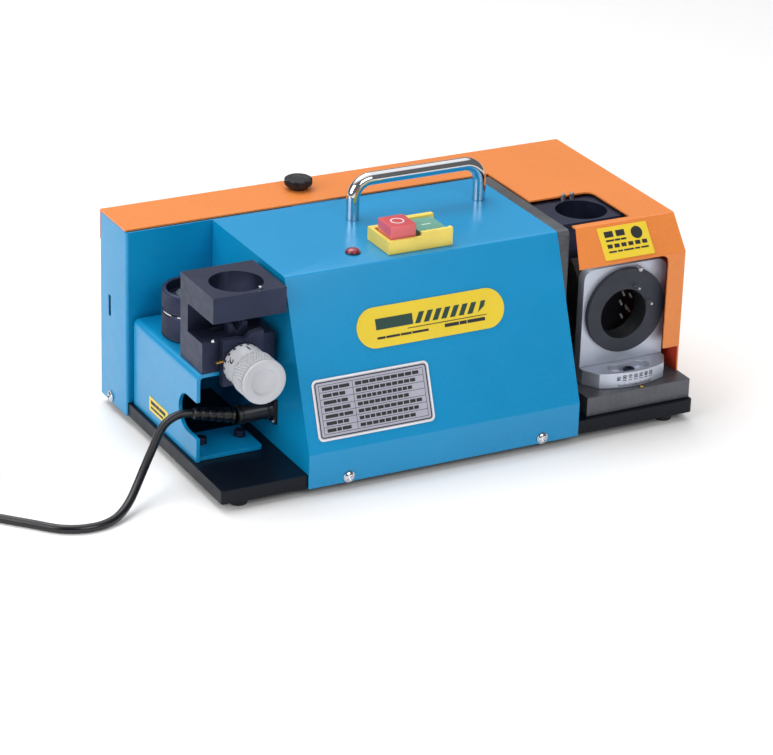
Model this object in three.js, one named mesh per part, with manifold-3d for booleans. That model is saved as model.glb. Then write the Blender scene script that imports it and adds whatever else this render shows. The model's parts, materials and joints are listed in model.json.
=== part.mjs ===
// Drill bit sharpener: a bench grinding machine in a sheet metal case.
// It has a collet chuck setting gauge on its left and two grinding ports on its right.
import * as THREE from 'three';
import { mergeVertices } from 'three/addons/utils/BufferGeometryUtils.js';
import Module from 'manifold-3d';

const wasm = await Module();
wasm.setup();

// ---------------------------------------------------------------- driving dimensions, millimetres
// They are measured from the base tray's front left bottom corner: +X along the machine, +Y back.
const GAP = 0.3; // between two pieces that touch
const SHEET = 1.5; // case sheet metal
const BASE = { length: 470, depth: 255, height: 12.5, wall: 2, corner: 3 };
const FOOT = { drop: 8, low: 7.5, high: 9, x: 22, y: 14 };
const CASE_TOP = 175.8; // outer top of the blue case
const COVER = { left: 80.8, right: 348.3, back: 197.4, skirt: -2.6 };
const COVER_EDGE = { y: 51.9, z: CASE_TOP }; // where the cover's top meets its slope
const COVER_BEND = { y: COVER.skirt, z: 31.5 }; // where its slope meets its skirt
const REAR = { left: -1.8, front: 197.7, back: 255, right: 348 };
const HOOD = { top: 177.6, left: -1.8, right: 467.5, inner: 361, front: 24.7, back: 256.8 };
const HOOD_STRIP = { front: 200, lip: 150 }; // the hood's arm over the rear housing
const HOOD_EDGE_Y = 48.5; // where its top meets its slope
const HOOD_BEND_Z = 148.3; // where its slope meets its front strip
const HOOD_TILT = Math.atan2(HOOD.top - HOOD_BEND_Z, HOOD_EDGE_Y - HOOD.front);
const NOTCH = { right: 425, front: 54.6, back: 123, corner: 9 }; // opening over the thinning port
const FRAME = { x0: 348.8, x1: 360.7, front: 50, back: 197.4, corner: 6 };
const PLATE = { x0: 361, x1: 469, y0: 5, y1: 150, top: 31 }; // thick slide plate
const DRIVE = { y: 122, z: 86 }; // motor and wheel axis, along X
const CHUCK_BORE = 23.5; // radius of each port that takes the collet chuck
const SWING = { x: 414.3, y: 95, slot: 72, front: 84 }; // angle bracket's pivot and radii
const GAUGE = { x0: 8.2, x1: 76.4, back: 104.4, top: 172.9, bottom: 95.3 };
const GAUGE_BORE = { x: 42.3, y: 66.1 };
const KNOB = { x: 42.3, z: 103, face: 7.2, back: 50.4, radius: 20.2 };
const SHELF = { top: 95, thickness: 3.5, x0: 3.5, x1: 78, y0: 60, y1: 194 };
const STORED = { x: 39, y: 145 }; // axis of the stored chuck
const GLAND = { y: 70, z: 46 };
const CORD_R = 3.75;
const SCREW_HEAD = 3; // height of a case screw's head
const ON_BASE = BASE.height + GAP; // lowest level of what stands on the tray
const ON_TOP = CASE_TOP + GAP; // lowest level of what stands on the blue case

// ---------------------------------------------------------------- materials
const paint = (color, roughness, metalness = 0) =>
  new THREE.MeshStandardMaterial({ color, roughness, metalness });
const BLUE = paint(0x1a93ce, 0.45);
const ORANGE = paint(0xe98a42, 0.45);
const CHARCOAL = paint(0x2b3038, 0.5);
const STEEL = paint(0x8a8d92, 0.4, 0.8);
const BRIGHT = paint(0xd5d8dc, 0.2, 1);
const BLACK_OXIDE = paint(0x33364a, 0.45, 0.4);
const ALUMINIUM = paint(0xaab2c2, 0.4, 0.8);
const WHITE = paint(0xe2e2e8, 0.4);
const BLACK = paint(0x17191c, 0.5);
const RUBBER = paint(0x1c1c1e, 0.85);
const YELLOW = paint(0xf2dc3c, 0.4);
const RED = paint(0xd8485c, 0.3);
const GREEN = paint(0x6fae98, 0.3);
const LAMP_RED = paint(0x7c1420, 0.2);
const BRASS = paint(0xb98a3c, 0.35, 0.9);
const IRON = paint(0x4c5054, 0.6, 0.5);
const ABRASIVE = paint(0x8d7358, 0.9);

// ---------------------------------------------------------------- shapes
const X_OUT = new THREE.Matrix4().makeBasis(
  new THREE.Vector3(0, 1, 0),
  new THREE.Vector3(0, 0, 1),
  new THREE.Vector3(1, 0, 0),
);
const Y_OUT = new THREE.Matrix4().makeBasis(
  new THREE.Vector3(1, 0, 0),
  new THREE.Vector3(0, 0, 1),
  new THREE.Vector3(0, -1, 0),
);

function box(x0, x1, y0, y1, z0, z1) {
  const geometry = new THREE.BoxGeometry(x1 - x0, y1 - y0, z1 - z0);
  return geometry.translate((x0 + x1) / 2, (y0 + y1) / 2, (z0 + z1) / 2);
}

function extrude(shape, depth, curveSegments = 6) {
  return new THREE.ExtrudeGeometry(shape, { depth, bevelEnabled: false, curveSegments });
}

// A shape drawn in (y, z), from x0 to x1.
function alongX(shape, x0, x1, segments) {
  return extrude(shape, x1 - x0, segments).applyMatrix4(X_OUT).translate(x0, 0, 0);
}

// A shape drawn in (x, z), from y0 to y1.
function alongY(shape, y0, y1, segments) {
  return extrude(shape, y1 - y0, segments).applyMatrix4(Y_OUT).translate(0, y1, 0);
}

// A shape drawn in (x, y), from z0 to z1.
function alongZ(shape, z0, z1, segments) {
  return extrude(shape, z1 - z0, segments).translate(0, 0, z0);
}

function rod(axis, a, b, from, to, radius, sides = 24) {
  const geometry = new THREE.CylinderGeometry(radius, radius, to - from, sides);
  const middle = (from + to) / 2;
  if (axis === 'x') return geometry.rotateZ(-Math.PI / 2).translate(middle, a, b);
  if (axis === 'y') return geometry.translate(a, middle, b);
  return geometry.rotateX(Math.PI / 2).translate(a, b, middle);
}

// A profile of [radius, place] pairs turned about an axis. It climbs along the axis on its outside.
function turned(axis, a, b, profile, sides = 32) {
  const points = profile.map(([radius, place]) => new THREE.Vector2(radius, place));
  const geometry = new THREE.LatheGeometry(points, sides);
  if (axis === 'x') return geometry.rotateZ(-Math.PI / 2).translate(0, a, b);
  if (axis === 'y') return geometry.translate(a, 0, b);
  return geometry.rotateX(Math.PI / 2).translate(a, b, 0);
}

function polygon(points) {
  return new THREE.Shape(points.map(([u, v]) => new THREE.Vector2(u, v)));
}

function roundedRect(u0, u1, v0, v1, radius) {
  const shape = new THREE.Shape();
  shape.absarc(u1 - radius, v1 - radius, radius, 0, Math.PI / 2);
  shape.absarc(u0 + radius, v1 - radius, radius, Math.PI / 2, Math.PI);
  shape.absarc(u0 + radius, v0 + radius, radius, Math.PI, Math.PI * 1.5);
  shape.absarc(u1 - radius, v0 + radius, radius, Math.PI * 1.5, Math.PI * 2);
  return shape;
}

// A polygon whose corners are rounded, each given as [u, v, radius], in order.
function filleted(corners) {
  const shape = new THREE.Shape();
  corners.forEach(([u, v, radius], i) => {
    const at = new THREE.Vector2(u, v);
    if (!radius) {
      if (i) shape.lineTo(u, v);
      else shape.moveTo(u, v);
      return;
    }
    const before = corners.at(i - 1);
    const after = corners[(i + 1) % corners.length];
    const back = new THREE.Vector2(before[0], before[1]).sub(at).normalize();
    const on = new THREE.Vector2(after[0], after[1]).sub(at).normalize();
    const reach = radius / Math.tan(Math.acos(back.dot(on)) / 2);
    const start = at.clone().addScaledVector(back, reach);
    const end = at.clone().addScaledVector(on, reach);
    if (i) shape.lineTo(start.x, start.y);
    else shape.moveTo(start.x, start.y);
    shape.quadraticCurveTo(u, v, end.x, end.y);
  });
  return shape;
}

// ---------------------------------------------------------------- joining and cutting
function toSolid(geometry) {
  const loose = geometry.index ? geometry.toNonIndexed() : geometry;
  const bare = new THREE.BufferGeometry();
  bare.setAttribute('position', loose.getAttribute('position'));
  const merged = mergeVertices(bare, 1e-3);
  const vertProperties = merged.getAttribute('position').array;
  const triVerts = new Uint32Array(merged.index.array);
  return new wasm.Manifold(new wasm.Mesh({ numProp: 3, vertProperties, triVerts }));
}

function toGeometry(solid) {
  const { vertProperties, triVerts } = solid.getMesh();
  const geometry = new THREE.BufferGeometry();
  geometry.setAttribute('position', new THREE.BufferAttribute(vertProperties, 3));
  geometry.setIndex(new THREE.BufferAttribute(triVerts, 1));
  const flat = geometry.toNonIndexed();
  flat.computeVertexNormals();
  return flat;
}

function join(first, ...others) {
  return toGeometry(others.reduce((sum, next) => sum.add(toSolid(next)), toSolid(first)));
}

function cut(first, ...tools) {
  return toGeometry(tools.reduce((rest, tool) => rest.subtract(toSolid(tool)), toSolid(first)));
}

// ---------------------------------------------------------------- groups
const LOWEST = -FOOT.drop;
const LEFTMOST = REAR.left - SCREW_HEAD;
const FOREMOST = COVER.skirt - SCREW_HEAD;
const machine = new THREE.Group();
machine.position.set(-(LEFTMOST + BASE.length) / 2, -(FOREMOST + HOOD.back) / 2, -LOWEST);

function group() {
  const assembly = new THREE.Group();
  machine.add(assembly);
  return assembly;
}

function add(assembly, name, geometry, material) {
  const mesh = new THREE.Mesh(geometry, material);
  mesh.name = name;
  assembly.add(mesh);
  return mesh;
}

// ---------------------------------------------------------------- base
const SKIRT_SCREWS = { left: 119, right: 311 }; // their x
const SKIRT_SCREW_Z = 5;
const PANEL_SCREW = { y: 233, z: 5 };
const BRACKET_SCREWS = { left: 21, right: 58 }; // their x
const BRACKET_SCREW_Y = 88;
const base = group();

const screwHoles = [
  ...Object.values(SKIRT_SCREWS).map((x) => rod('y', x, SKIRT_SCREW_Z, -1, 8, 2.3, 12)),
  ...Object.values(BRACKET_SCREWS).map((x) => rod('z', x, BRACKET_SCREW_Y, 5, 20, 3.3, 12)),
  rod('x', PANEL_SCREW.y, PANEL_SCREW.z, -1, 8, 2.3, 12),
];
const trayHollow = box(
  BASE.wall, BASE.length - BASE.wall, BASE.wall, BASE.depth - BASE.wall, -1, BASE.height - BASE.wall,
);
const trayShape = roundedRect(0, BASE.length, 0, BASE.depth, BASE.corner);
add(base, 'base_tray', cut(alongZ(trayShape, 0, BASE.height), trayHollow, ...screwHoles), CHARCOAL);

const FOOT_TOP = BASE.height - BASE.wall - GAP;
const footProfile = [[0, LOWEST], [FOOT.low, LOWEST], [FOOT.high, -1], [FOOT.high, FOOT_TOP], [0, FOOT_TOP]];
for (const [side, x] of [['left', FOOT.x], ['right', BASE.length - FOOT.x]])
  for (const [end, y] of [['front', FOOT.y], ['rear', BASE.depth - FOOT.y]])
    add(base, `rubber_foot_${end}_${side}`, turned('z', x, y, footProfile, 24), RUBBER);

const clampHole = rod('z', SWING.x, SWING.y - SWING.slot, 10, 40, 3.3, 16);
const slidePlate = box(PLATE.x0, PLATE.x1, PLATE.y0, PLATE.y1, ON_BASE, PLATE.top);
add(base, 'slide_plate', cut(slidePlate, clampHole), STEEL);

const frameShape = filleted([
  [FRAME.front, ON_BASE], [FRAME.back, ON_BASE], [FRAME.back, CASE_TOP],
  [FRAME.front, CASE_TOP, FRAME.corner],
]);
const bearingSeat = rod('x', DRIVE.y, DRIVE.z, 340, 370, 17.8, 32);
add(base, 'frame_plate', cut(alongX(frameShape, FRAME.x0, FRAME.x1), bearingSeat), STEEL);

// ---------------------------------------------------------------- motor, spindle and wheel
const SHAFT_R = 8;
const MOTOR = { x0: 128, flange: 332, x1: FRAME.x0 - GAP, radius: 56, hollow: 48 };
const WHEEL = { x0: 390, x1: 410, radius: 50 };
const drive = group();

const motorShell = join(
  rod('x', DRIVE.y, DRIVE.z, MOTOR.x0, MOTOR.flange + 1, MOTOR.radius, 40),
  alongX(roundedRect(DRIVE.y - 60, DRIVE.y + 60, DRIVE.z - 60, DRIVE.z + 60, 12), MOTOR.flange, MOTOR.x1),
  box(160, 300, DRIVE.y - 40, DRIVE.y + 40, ON_BASE, DRIVE.z - 40),
);
add(drive, 'motor_body', cut(
  motorShell,
  rod('x', DRIVE.y, DRIVE.z, MOTOR.x0 - 1, MOTOR.flange - 6, MOTOR.hollow, 32),
  rod('x', DRIVE.y, DRIVE.z, MOTOR.flange - 10, MOTOR.x1 + 1, SHAFT_R + GAP, 24),
), IRON);

const CAP = { x0: 114, x1: MOTOR.x0 - GAP };
const endCap = rod('x', DRIVE.y, DRIVE.z, CAP.x0, CAP.x1, MOTOR.radius, 40);
const vents = [];
for (let i = 0; i < 8; i += 1) {
  const angle = (i * Math.PI) / 4;
  const y = DRIVE.y + 33 * Math.cos(angle);
  vents.push(rod('x', y, DRIVE.z + 33 * Math.sin(angle), CAP.x0 - 1, CAP.x1 + 1, 7, 12));
}
vents.push(rod('x', DRIVE.y, DRIVE.z, CAP.x0 - 1, CAP.x1 + 1, SHAFT_R + GAP, 24));
add(drive, 'motor_end_cap', cut(endCap, ...vents), ALUMINIUM);

const SPINDLE = [
  [0, 92], [SHAFT_R, 92], [SHAFT_R, 160], [34, 160], [34, 290], [SHAFT_R, 290],
  [SHAFT_R, 382], [20, 382], [20, WHEEL.x0 - GAP], [SHAFT_R, WHEEL.x0 - GAP], [SHAFT_R, 427], [0, 427],
];
add(drive, 'spindle', turned('x', DRIVE.y, DRIVE.z, SPINDLE, 24), STEEL);

const FAN = { x0: 95, x1: 110, radius: 44, blades: 8 };
let fan = rod('x', DRIVE.y, DRIVE.z, FAN.x0, FAN.x1, 15, 24);
for (let i = 0; i < FAN.blades; i += 1) {
  const blade = box(FAN.x0, FAN.x1, -1.5, 1.5, 12, FAN.radius);
  blade.rotateX((i * 2 * Math.PI) / FAN.blades).translate(0, DRIVE.y, DRIVE.z);
  fan = join(fan, blade);
}
const fanBore = rod('x', DRIVE.y, DRIVE.z, FAN.x0 - 1, FAN.x1 + 1, SHAFT_R + GAP, 24);
add(drive, 'cooling_fan', cut(fan, fanBore), BLACK);

const ring = (inner, outer, from, to) => [
  [inner, from], [outer, from], [outer, to], [inner, to], [inner, from],
];
const bearingX = [FRAME.x0 + 0.4, FRAME.x1 - 0.2];
add(drive, 'spindle_bearing', turned('x', DRIVE.y, DRIVE.z, ring(SHAFT_R + GAP, 17.5, ...bearingX)), BRIGHT);
const BORE = SHAFT_R + GAP;
const wheelProfile = [
  [BORE, WHEEL.x0], [WHEEL.radius, WHEEL.x0], [WHEEL.radius, WHEEL.x1 - 8],
  [WHEEL.radius - 5, WHEEL.x1], [BORE, WHEEL.x1], [BORE, WHEEL.x0],
];
add(drive, 'grinding_wheel', turned('x', DRIVE.y, DRIVE.z, wheelProfile, 48), ABRASIVE);
add(drive, 'wheel_flange', turned('x', DRIVE.y, DRIVE.z, ring(BORE, 22, WHEEL.x1 + GAP, 415.5)), STEEL);
const hexagon = rod('x', DRIVE.y, DRIVE.z, 415.8, 424, 13, 6);
const nutBore = rod('x', DRIVE.y, DRIVE.z, 410, 430, BORE, 24);
add(drive, 'wheel_nut', cut(hexagon, nutBore), STEEL);

const capacitor = turned('x', 228, 32, [[0, 120], [17, 120], [18, 122], [18, 205], [8, 212], [0, 212]], 24);
add(drive, 'capacitor', capacitor, ALUMINIUM);

// ---------------------------------------------------------------- case
const SWITCH = { x0: 185, x1: 247.5, y0: 60, y1: 101, top: 192.6, step: 188.4, middle: 217 };
const LAMP = { x: 159.3, y: 78.4 };
const THUMB = { x: 183, y: 234 };
const BEND = 4; // outer bend radius of the sheet metal, at its wide corners
const covers = group();

// The case profile between two lines, moved in by a sheet's thickness for its hollow.
function coverProfile(inset) {
  const slope = Math.hypot(COVER_EDGE.y - COVER_BEND.y, COVER_EDGE.z - COVER_BEND.z);
  const lean = (COVER_EDGE.y - COVER_BEND.y) / slope;
  const rise = (COVER_EDGE.z - COVER_BEND.z) / slope;
  const topShift = (inset * (1 - lean)) / rise;
  const bendShift = (inset * (1 - rise)) / lean;
  const low = inset ? -1 : 0;
  return filleted([
    [COVER.back + inset, low], [COVER.back + inset, CASE_TOP - inset],
    [COVER_EDGE.y + topShift, CASE_TOP - inset, BEND - inset],
    [COVER.skirt + inset, COVER_BEND.z - bendShift, BEND - inset],
    [COVER.skirt + inset, low],
  ]);
}
const switchHole = box(SWITCH.x0 + 5, SWITCH.x1 - 5, SWITCH.y0 + 5, SWITCH.y1 - 5, 150, 180);
add(covers, 'front_cover', cut(
  alongX(coverProfile(0), COVER.left, COVER.right),
  alongX(coverProfile(SHEET), COVER.left + SHEET, COVER.right + 1),
  box(COVER.left - 1, COVER.right + 1, -COVER.skirt - 3.7, COVER.back + 1, -1, ON_BASE),
  switchHole,
  rod('z', LAMP.x, LAMP.y, 170, 180, 4.8, 16),
  rod('x', GLAND.y, GLAND.z, 75, 90, 9, 20),
  ...Object.values(SKIRT_SCREWS).map((x) => rod('y', x, SKIRT_SCREW_Z, -5, 2, 2.3, 12)),
), BLUE);

const THUMB_TAB = { x0: 160, x1: 206 };
const rearPlan = filleted([
  [REAR.left, REAR.back], [REAR.left, REAR.front, 2.5], [REAR.right, REAR.front],
  [REAR.right, REAR.front + SHEET], [REAR.left + SHEET, REAR.front + SHEET],
  [REAR.left + SHEET, REAR.back - SHEET], [REAR.right, REAR.back - SHEET], [REAR.right, REAR.back],
]);
add(covers, 'rear_housing', cut(
  join(
    alongZ(rearPlan, 0, CASE_TOP),
    box(THUMB_TAB.x0, THUMB_TAB.x1, REAR.front + 1, REAR.back - 1, CASE_TOP - SHEET, CASE_TOP),
  ),
  box(-GAP, REAR.right + 1, REAR.front - 1, REAR.back + 1, -1, ON_BASE),
  box(REAR.left - 1, 0, 233, 238, 83, 103),
  rod('x', PANEL_SCREW.y, PANEL_SCREW.z, -5, 2, 2.3, 12),
  rod('z', THUMB.x, THUMB.y, 170, 180, 3.3, 16),
), BLUE);

function hoodProfile(inset) {
  const back = HOOD.back - inset;
  const top = HOOD.top - inset;
  const low = inset ? -5 : 0.5;
  const slipTop = inset * Math.tan(HOOD_TILT / 2);
  const slipBend = inset * Math.tan(Math.PI / 4 - HOOD_TILT / 2);
  return filleted([
    [back, low], [back, top], [HOOD_EDGE_Y + slipTop, top, 3 - inset],
    [HOOD.front + inset, HOOD_BEND_Z - slipBend, 3 - inset], [HOOD.front + inset, low],
  ]);
}
const WINDOW = { right: 450.3, top: 147.4, radius: 9, stripEnd: 56 };
const hoodWindow = filleted([
  [340, -10], [WINDOW.right, -10], [WINDOW.right, WINDOW.top, WINDOW.radius], [340, WINDOW.top],
]);
const notchPlan = filleted([
  [340, NOTCH.front], [NOTCH.right, NOTCH.front], [NOTCH.right, NOTCH.back, NOTCH.corner],
  [340, NOTCH.back],
]);
// In front of the frame plate the slope reaches further left, and its left edge leans.
const LEAN = { top: 365, low: 357 };
const leanPlan = polygon([
  [340, HOOD.front - 1], [LEAN.low, HOOD.front - 1], [LEAN.low, HOOD.front], [LEAN.top, HOOD_EDGE_Y],
  [LEAN.top, NOTCH.front], [340, NOTCH.front],
]);
const hoodShell = cut(
  alongX(hoodProfile(0), LEAN.low - 1, HOOD.right),
  alongX(hoodProfile(SHEET), LEAN.low - 2, HOOD.right - SHEET),
  box(340, HOOD.inner, FRAME.front - GAP, 300, -20, 200),
  alongZ(leanPlan, 100, 200),
);
const hoodArm = join(
  box(HOOD.left, HOOD.inner + 1, HOOD_STRIP.front, HOOD.back, HOOD.top - SHEET, HOOD.top),
  box(HOOD.left, HOOD.inner + 1, HOOD.back - SHEET, HOOD.back, HOOD_STRIP.lip, HOOD.top),
);
add(covers, 'top_hood', cut(
  join(hoodShell, hoodArm),
  alongY(hoodWindow, 20, 40),
  box(340, HOOD.right - SHEET, 20, 40, -10, WINDOW.stripEnd),
  alongZ(notchPlan, 170, 190),
  box(340, HOOD.right + 1, 20, PLATE.y1 + GAP, -10, PLATE.top + GAP),
  box(340, HOOD.right + 1, 20, BASE.depth + GAP, -10, ON_BASE),
  rod('z', THUMB.x, THUMB.y, 170, 180, 3.6, 16),
), ORANGE);

const thumbTop = HOOD.top + 10.5;
const thumbProfile = [
  [0, 162], [2.9, 162], [2.9, HOOD.top + GAP], [9, HOOD.top + GAP], [10, HOOD.top + 2.5],
  [12.8, HOOD.top + 4.5], [12.8, thumbTop - 1], [11.8, thumbTop], [0, thumbTop],
];
add(covers, 'hood_thumbscrew', turned('z', THUMB.x, THUMB.y, thumbProfile, 24), BLACK);

const HANDLE = { x0: 195.6, x1: 323.6, y: 150.5, rise: 41.8, radius: 6, bend: 17 };
const handleTop = CASE_TOP + HANDLE.rise - HANDLE.radius;
const handlePath = new THREE.CurvePath();
const handlePoint = (x, z) => new THREE.Vector3(x, HANDLE.y, z);
const legTop = handleTop - HANDLE.bend;
handlePath.add(new THREE.LineCurve3(handlePoint(HANDLE.x0, ON_TOP), handlePoint(HANDLE.x0, legTop)));
handlePath.add(new THREE.QuadraticBezierCurve3(
  handlePoint(HANDLE.x0, legTop), handlePoint(HANDLE.x0, handleTop),
  handlePoint(HANDLE.x0 + HANDLE.bend, handleTop),
));
handlePath.add(new THREE.LineCurve3(
  handlePoint(HANDLE.x0 + HANDLE.bend, handleTop), handlePoint(HANDLE.x1 - HANDLE.bend, handleTop),
));
handlePath.add(new THREE.QuadraticBezierCurve3(
  handlePoint(HANDLE.x1 - HANDLE.bend, handleTop), handlePoint(HANDLE.x1, handleTop),
  handlePoint(HANDLE.x1, legTop),
));
handlePath.add(new THREE.LineCurve3(handlePoint(HANDLE.x1, legTop), handlePoint(HANDLE.x1, ON_TOP)));
const handleSection = new THREE.Shape().absarc(0, 0, HANDLE.radius, 0, Math.PI * 2);
const handleBar = new THREE.ExtrudeGeometry(handleSection, {
  extrudePath: handlePath, steps: 40, curveSegments: 14, bevelEnabled: false,
});
const handleEnds = box(0, 400, 100, 200, 160, ON_TOP);
add(covers, 'carry_handle', cut(handleBar, handleEnds), BRIGHT);

// Case screws: a domed head outside, a shank through the sheet and the tray.
const caseScrew = (tip) => [
  [0, tip], [2, tip], [2, GAP], [4.6, GAP], [4.6, 1.2], [3.4, SCREW_HEAD - 0.4], [0, SCREW_HEAD],
];
for (const [side, x] of Object.entries(SKIRT_SCREWS)) {
  const screw = add(covers, `skirt_screw_${side}`, turned('z', 0, 0, caseScrew(-8), 20), BRIGHT);
  screw.rotation.x = Math.PI / 2;
  screw.position.set(x, COVER.skirt, SKIRT_SCREW_Z);
}
const panelScrew = add(covers, 'panel_screw', turned('z', 0, 0, caseScrew(-7), 20), BRIGHT);
panelScrew.rotation.y = -Math.PI / 2;
panelScrew.position.set(REAR.left, PANEL_SCREW.y, PANEL_SCREW.z);

// ---------------------------------------------------------------- plates on the slopes
const coverTilt = Math.atan2(COVER_EDGE.z - COVER_BEND.z, COVER_EDGE.y - COVER_BEND.y);

// Puts a flat piece on a slope that falls forward from an edge: down is its distance from the edge.
function onSlope(mesh, x, edge, down, tilt) {
  mesh.rotation.x = tilt;
  mesh.position.set(x, edge.y - down * Math.cos(tilt), edge.z - down * Math.sin(tilt));
}
const OVAL = { x: 213, down: 56, half: 72.2, height: 35.4 };
const oval = roundedRect(-OVAL.half, OVAL.half, -OVAL.height / 2, OVAL.height / 2, OVAL.height / 2 - 0.01);
const ovalPlate = add(covers, 'oval_plate', alongZ(oval, GAP, 1.1, 10), YELLOW);
onSlope(ovalPlate, OVAL.x, COVER_EDGE, OVAL.down, coverTilt);
const DATA = { x: 147.5, down: 117.8, half: 56.5, height: 53.5 };
const data = roundedRect(-DATA.half, DATA.half, -DATA.height / 2, DATA.height / 2, 5);
const dataPlate = add(covers, 'data_plate', alongZ(data, GAP, 1.1, 4), ALUMINIUM);
onSlope(dataPlate, DATA.x, COVER_EDGE, DATA.down, coverTilt);
const CAUTION = { x: 410.5, down: 19.4, half: 25.5, height: 30.6 };
const caution = roundedRect(-CAUTION.half, CAUTION.half, -CAUTION.height / 2, CAUTION.height / 2, 1);
const hoodEdge = { y: HOOD_EDGE_Y, z: HOOD.top };
const cautionPlate = add(covers, 'caution_plate', alongZ(caution, GAP, 0.9, 3), YELLOW);
onSlope(cautionPlate, CAUTION.x, hoodEdge, CAUTION.down, HOOD_TILT);

// ---------------------------------------------------------------- switch and lamp
const controls = group();
const pocket = box(SWITCH.x0 + 3, SWITCH.x1 - 3, SWITCH.y0 + 3, SWITCH.y1 - 6, 180, 200);
const BUTTON = { x0: SWITCH.x0 + 3.4, x1: SWITCH.x1 - 3.4, y0: SWITCH.y0 + 3.4, y1: SWITCH.y1 - 6.4 };
const BUTTON_LOW = 184;
const STEM = { stop: 200.3, start: 230.7, y: 77.5, radius: 4 };
const STOP_BACK = BUTTON.y1 - 5; // the stop cap is shallower than the start cap
// The wall beside the start button is cut low between the front and rear walls.
const sideDip = box(SWITCH.x1 - 4, SWITCH.x1 + 1, SWITCH.y0 + 4.5, SWITCH.y1 - 5, 187, 200);
add(controls, 'switch_housing', cut(
  join(
    box(SWITCH.x0, SWITCH.x1, SWITCH.y0, SWITCH.y1, ON_TOP, SWITCH.top),
    box(SWITCH.x0 + 6, SWITCH.x1 - 6, SWITCH.y0 + 6, SWITCH.y1 - 6, 152, ON_TOP + 1),
  ),
  pocket,
  box(SWITCH.x0 - 1, SWITCH.middle, SWITCH.y0 - 1, SWITCH.y1 + 1, SWITCH.step, 200),
  sideDip,
  rod('z', STEM.stop, STEM.y, 140, 190, STEM.radius + GAP, 16),
  rod('z', STEM.start, STEM.y, 140, 190, STEM.radius + GAP, 16),
), YELLOW);
const STOP_TOP = 199.8;
const START_TOP = 191.2;
const button = (x0, x1, y1, top, stemX) => join(
  alongZ(roundedRect(x0, x1, BUTTON.y0, y1, 1.5), BUTTON_LOW, top, 3),
  rod('z', stemX, STEM.y, 156, BUTTON_LOW + 1, STEM.radius, 16),
);
const stopButton = button(BUTTON.x0, SWITCH.middle - 3.8, STOP_BACK, STOP_TOP, STEM.stop);
add(controls, 'stop_button', stopButton, RED);
const startButton = button(SWITCH.middle + 0.4, BUTTON.x1, BUTTON.y1, START_TOP, STEM.start);
add(controls, 'start_button', startButton, GREEN);

const bezel = [
  [3.2, 160], [4.5, 160], [4.5, ON_TOP], [7, ON_TOP], [6.8, 176.8], [3.2, 176.8], [3.2, 160],
];
add(controls, 'lamp_bezel', turned('z', LAMP.x, LAMP.y, bezel, 24), BLACK);
const lens = [[0, 165], [2.9, 165], [2.9, 177.1], [6.3, 177.1], [5.8, 178.7], [3.7, 180], [0, 180.4]];
add(controls, 'lamp_lens', turned('z', LAMP.x, LAMP.y, lens, 24), LAMP_RED);

// ---------------------------------------------------------------- gauge station on the left
const gauge = group();
const SHELF_LOW = SHELF.top - SHELF.thickness;
const shelfProfile = filleted([
  [SHELF.x0, ON_BASE], [SHELF.x0, SHELF.top, 7], [SHELF.x1, SHELF.top], [SHELF.x1, SHELF_LOW],
  [SHELF.x0 + SHELF.thickness, SHELF_LOW, 3.5], [SHELF.x0 + SHELF.thickness, ON_BASE],
]);
const FOOT_FLANGE = { x1: 68, y0: 62, y1: 110, top: ON_BASE + SHELF.thickness };
const CORD_SLOT = { y: 80, z: 52, radius: 17 };
add(gauge, 'support_bracket', cut(
  join(
    alongY(shelfProfile, SHELF.y0, SHELF.y1),
    alongZ(
      filleted([
        [SHELF.x0, FOOT_FLANGE.y0], [FOOT_FLANGE.x1, FOOT_FLANGE.y0, 4],
        [FOOT_FLANGE.x1, FOOT_FLANGE.y1, 4], [SHELF.x0, FOOT_FLANGE.y1],
      ]),
      ON_BASE, FOOT_FLANGE.top,
    ),
  ),
  rod('x', CORD_SLOT.y, CORD_SLOT.z, 0, 10, CORD_SLOT.radius, 32),
  box(0, 10, SHELF.y0 - 1, CORD_SLOT.y, CORD_SLOT.z - CORD_SLOT.radius, CORD_SLOT.z + CORD_SLOT.radius),
  rod('z', STORED.x, STORED.y, 80, 100, 23.6, 40),
  ...Object.values(BRACKET_SCREWS).map((x) => rod('z', x, BRACKET_SCREW_Y, 10, 20, 3.3, 12)),
), BLUE);
const SOCKET_R = 2.9;
function capScrew(headLow, headHigh, headRadius, tip) {
  const head = turned('z', 0, 0, [
    [0, tip], [3, tip], [3, headLow], [headRadius, headLow], [headRadius, headHigh - 0.6],
    [headRadius - 0.6, headHigh], [0, headHigh],
  ], 24);
  return cut(head, rod('z', 0, 0, headHigh - 2.2, headHigh + 1, SOCKET_R, 6));
}
for (const [side, x] of Object.entries(BRACKET_SCREWS)) {
  const flange = FOOT_FLANGE.top + GAP;
  const screw = add(gauge, `bracket_screw_${side}`, capScrew(flange, flange + 6, 5, 4), BLACK_OXIDE);
  screw.position.set(x, BRACKET_SCREW_Y, 0);
}

const ARM = { upperLow: 149.5, upperFront: 38, lowerTop: 123.6, lowerFront: 59.5, spineFront: 89.3 };
const blockSide = polygon([
  [ARM.lowerFront, GAUGE.bottom], [GAUGE.back, GAUGE.bottom], [GAUGE.back, GAUGE.top],
  [ARM.upperFront, GAUGE.top], [ARM.upperFront, ARM.upperLow], [ARM.spineFront, ARM.upperLow],
  [ARM.spineFront, ARM.lowerTop], [ARM.lowerFront, ARM.lowerTop],
]);
const POCKET = { x0: 27.6, x1: 57, y1: 88, z0: 97.5 };
const PIN = { x: 54, y: 43.2, low: 165, radius: 1.8 };
add(gauge, 'gauge_block', cut(
  alongX(blockSide, GAUGE.x0, GAUGE.x1),
  rod('z', GAUGE_BORE.x, GAUGE_BORE.y, 140, 180, CHUCK_BORE, 48),
  box(POCKET.x0, POCKET.x1, 50, POCKET.y1, POCKET.z0, 130),
  rod('z', PIN.x, PIN.y, PIN.low - GAP, 180, PIN.radius + GAP, 12),
), BLACK_OXIDE);
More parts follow.
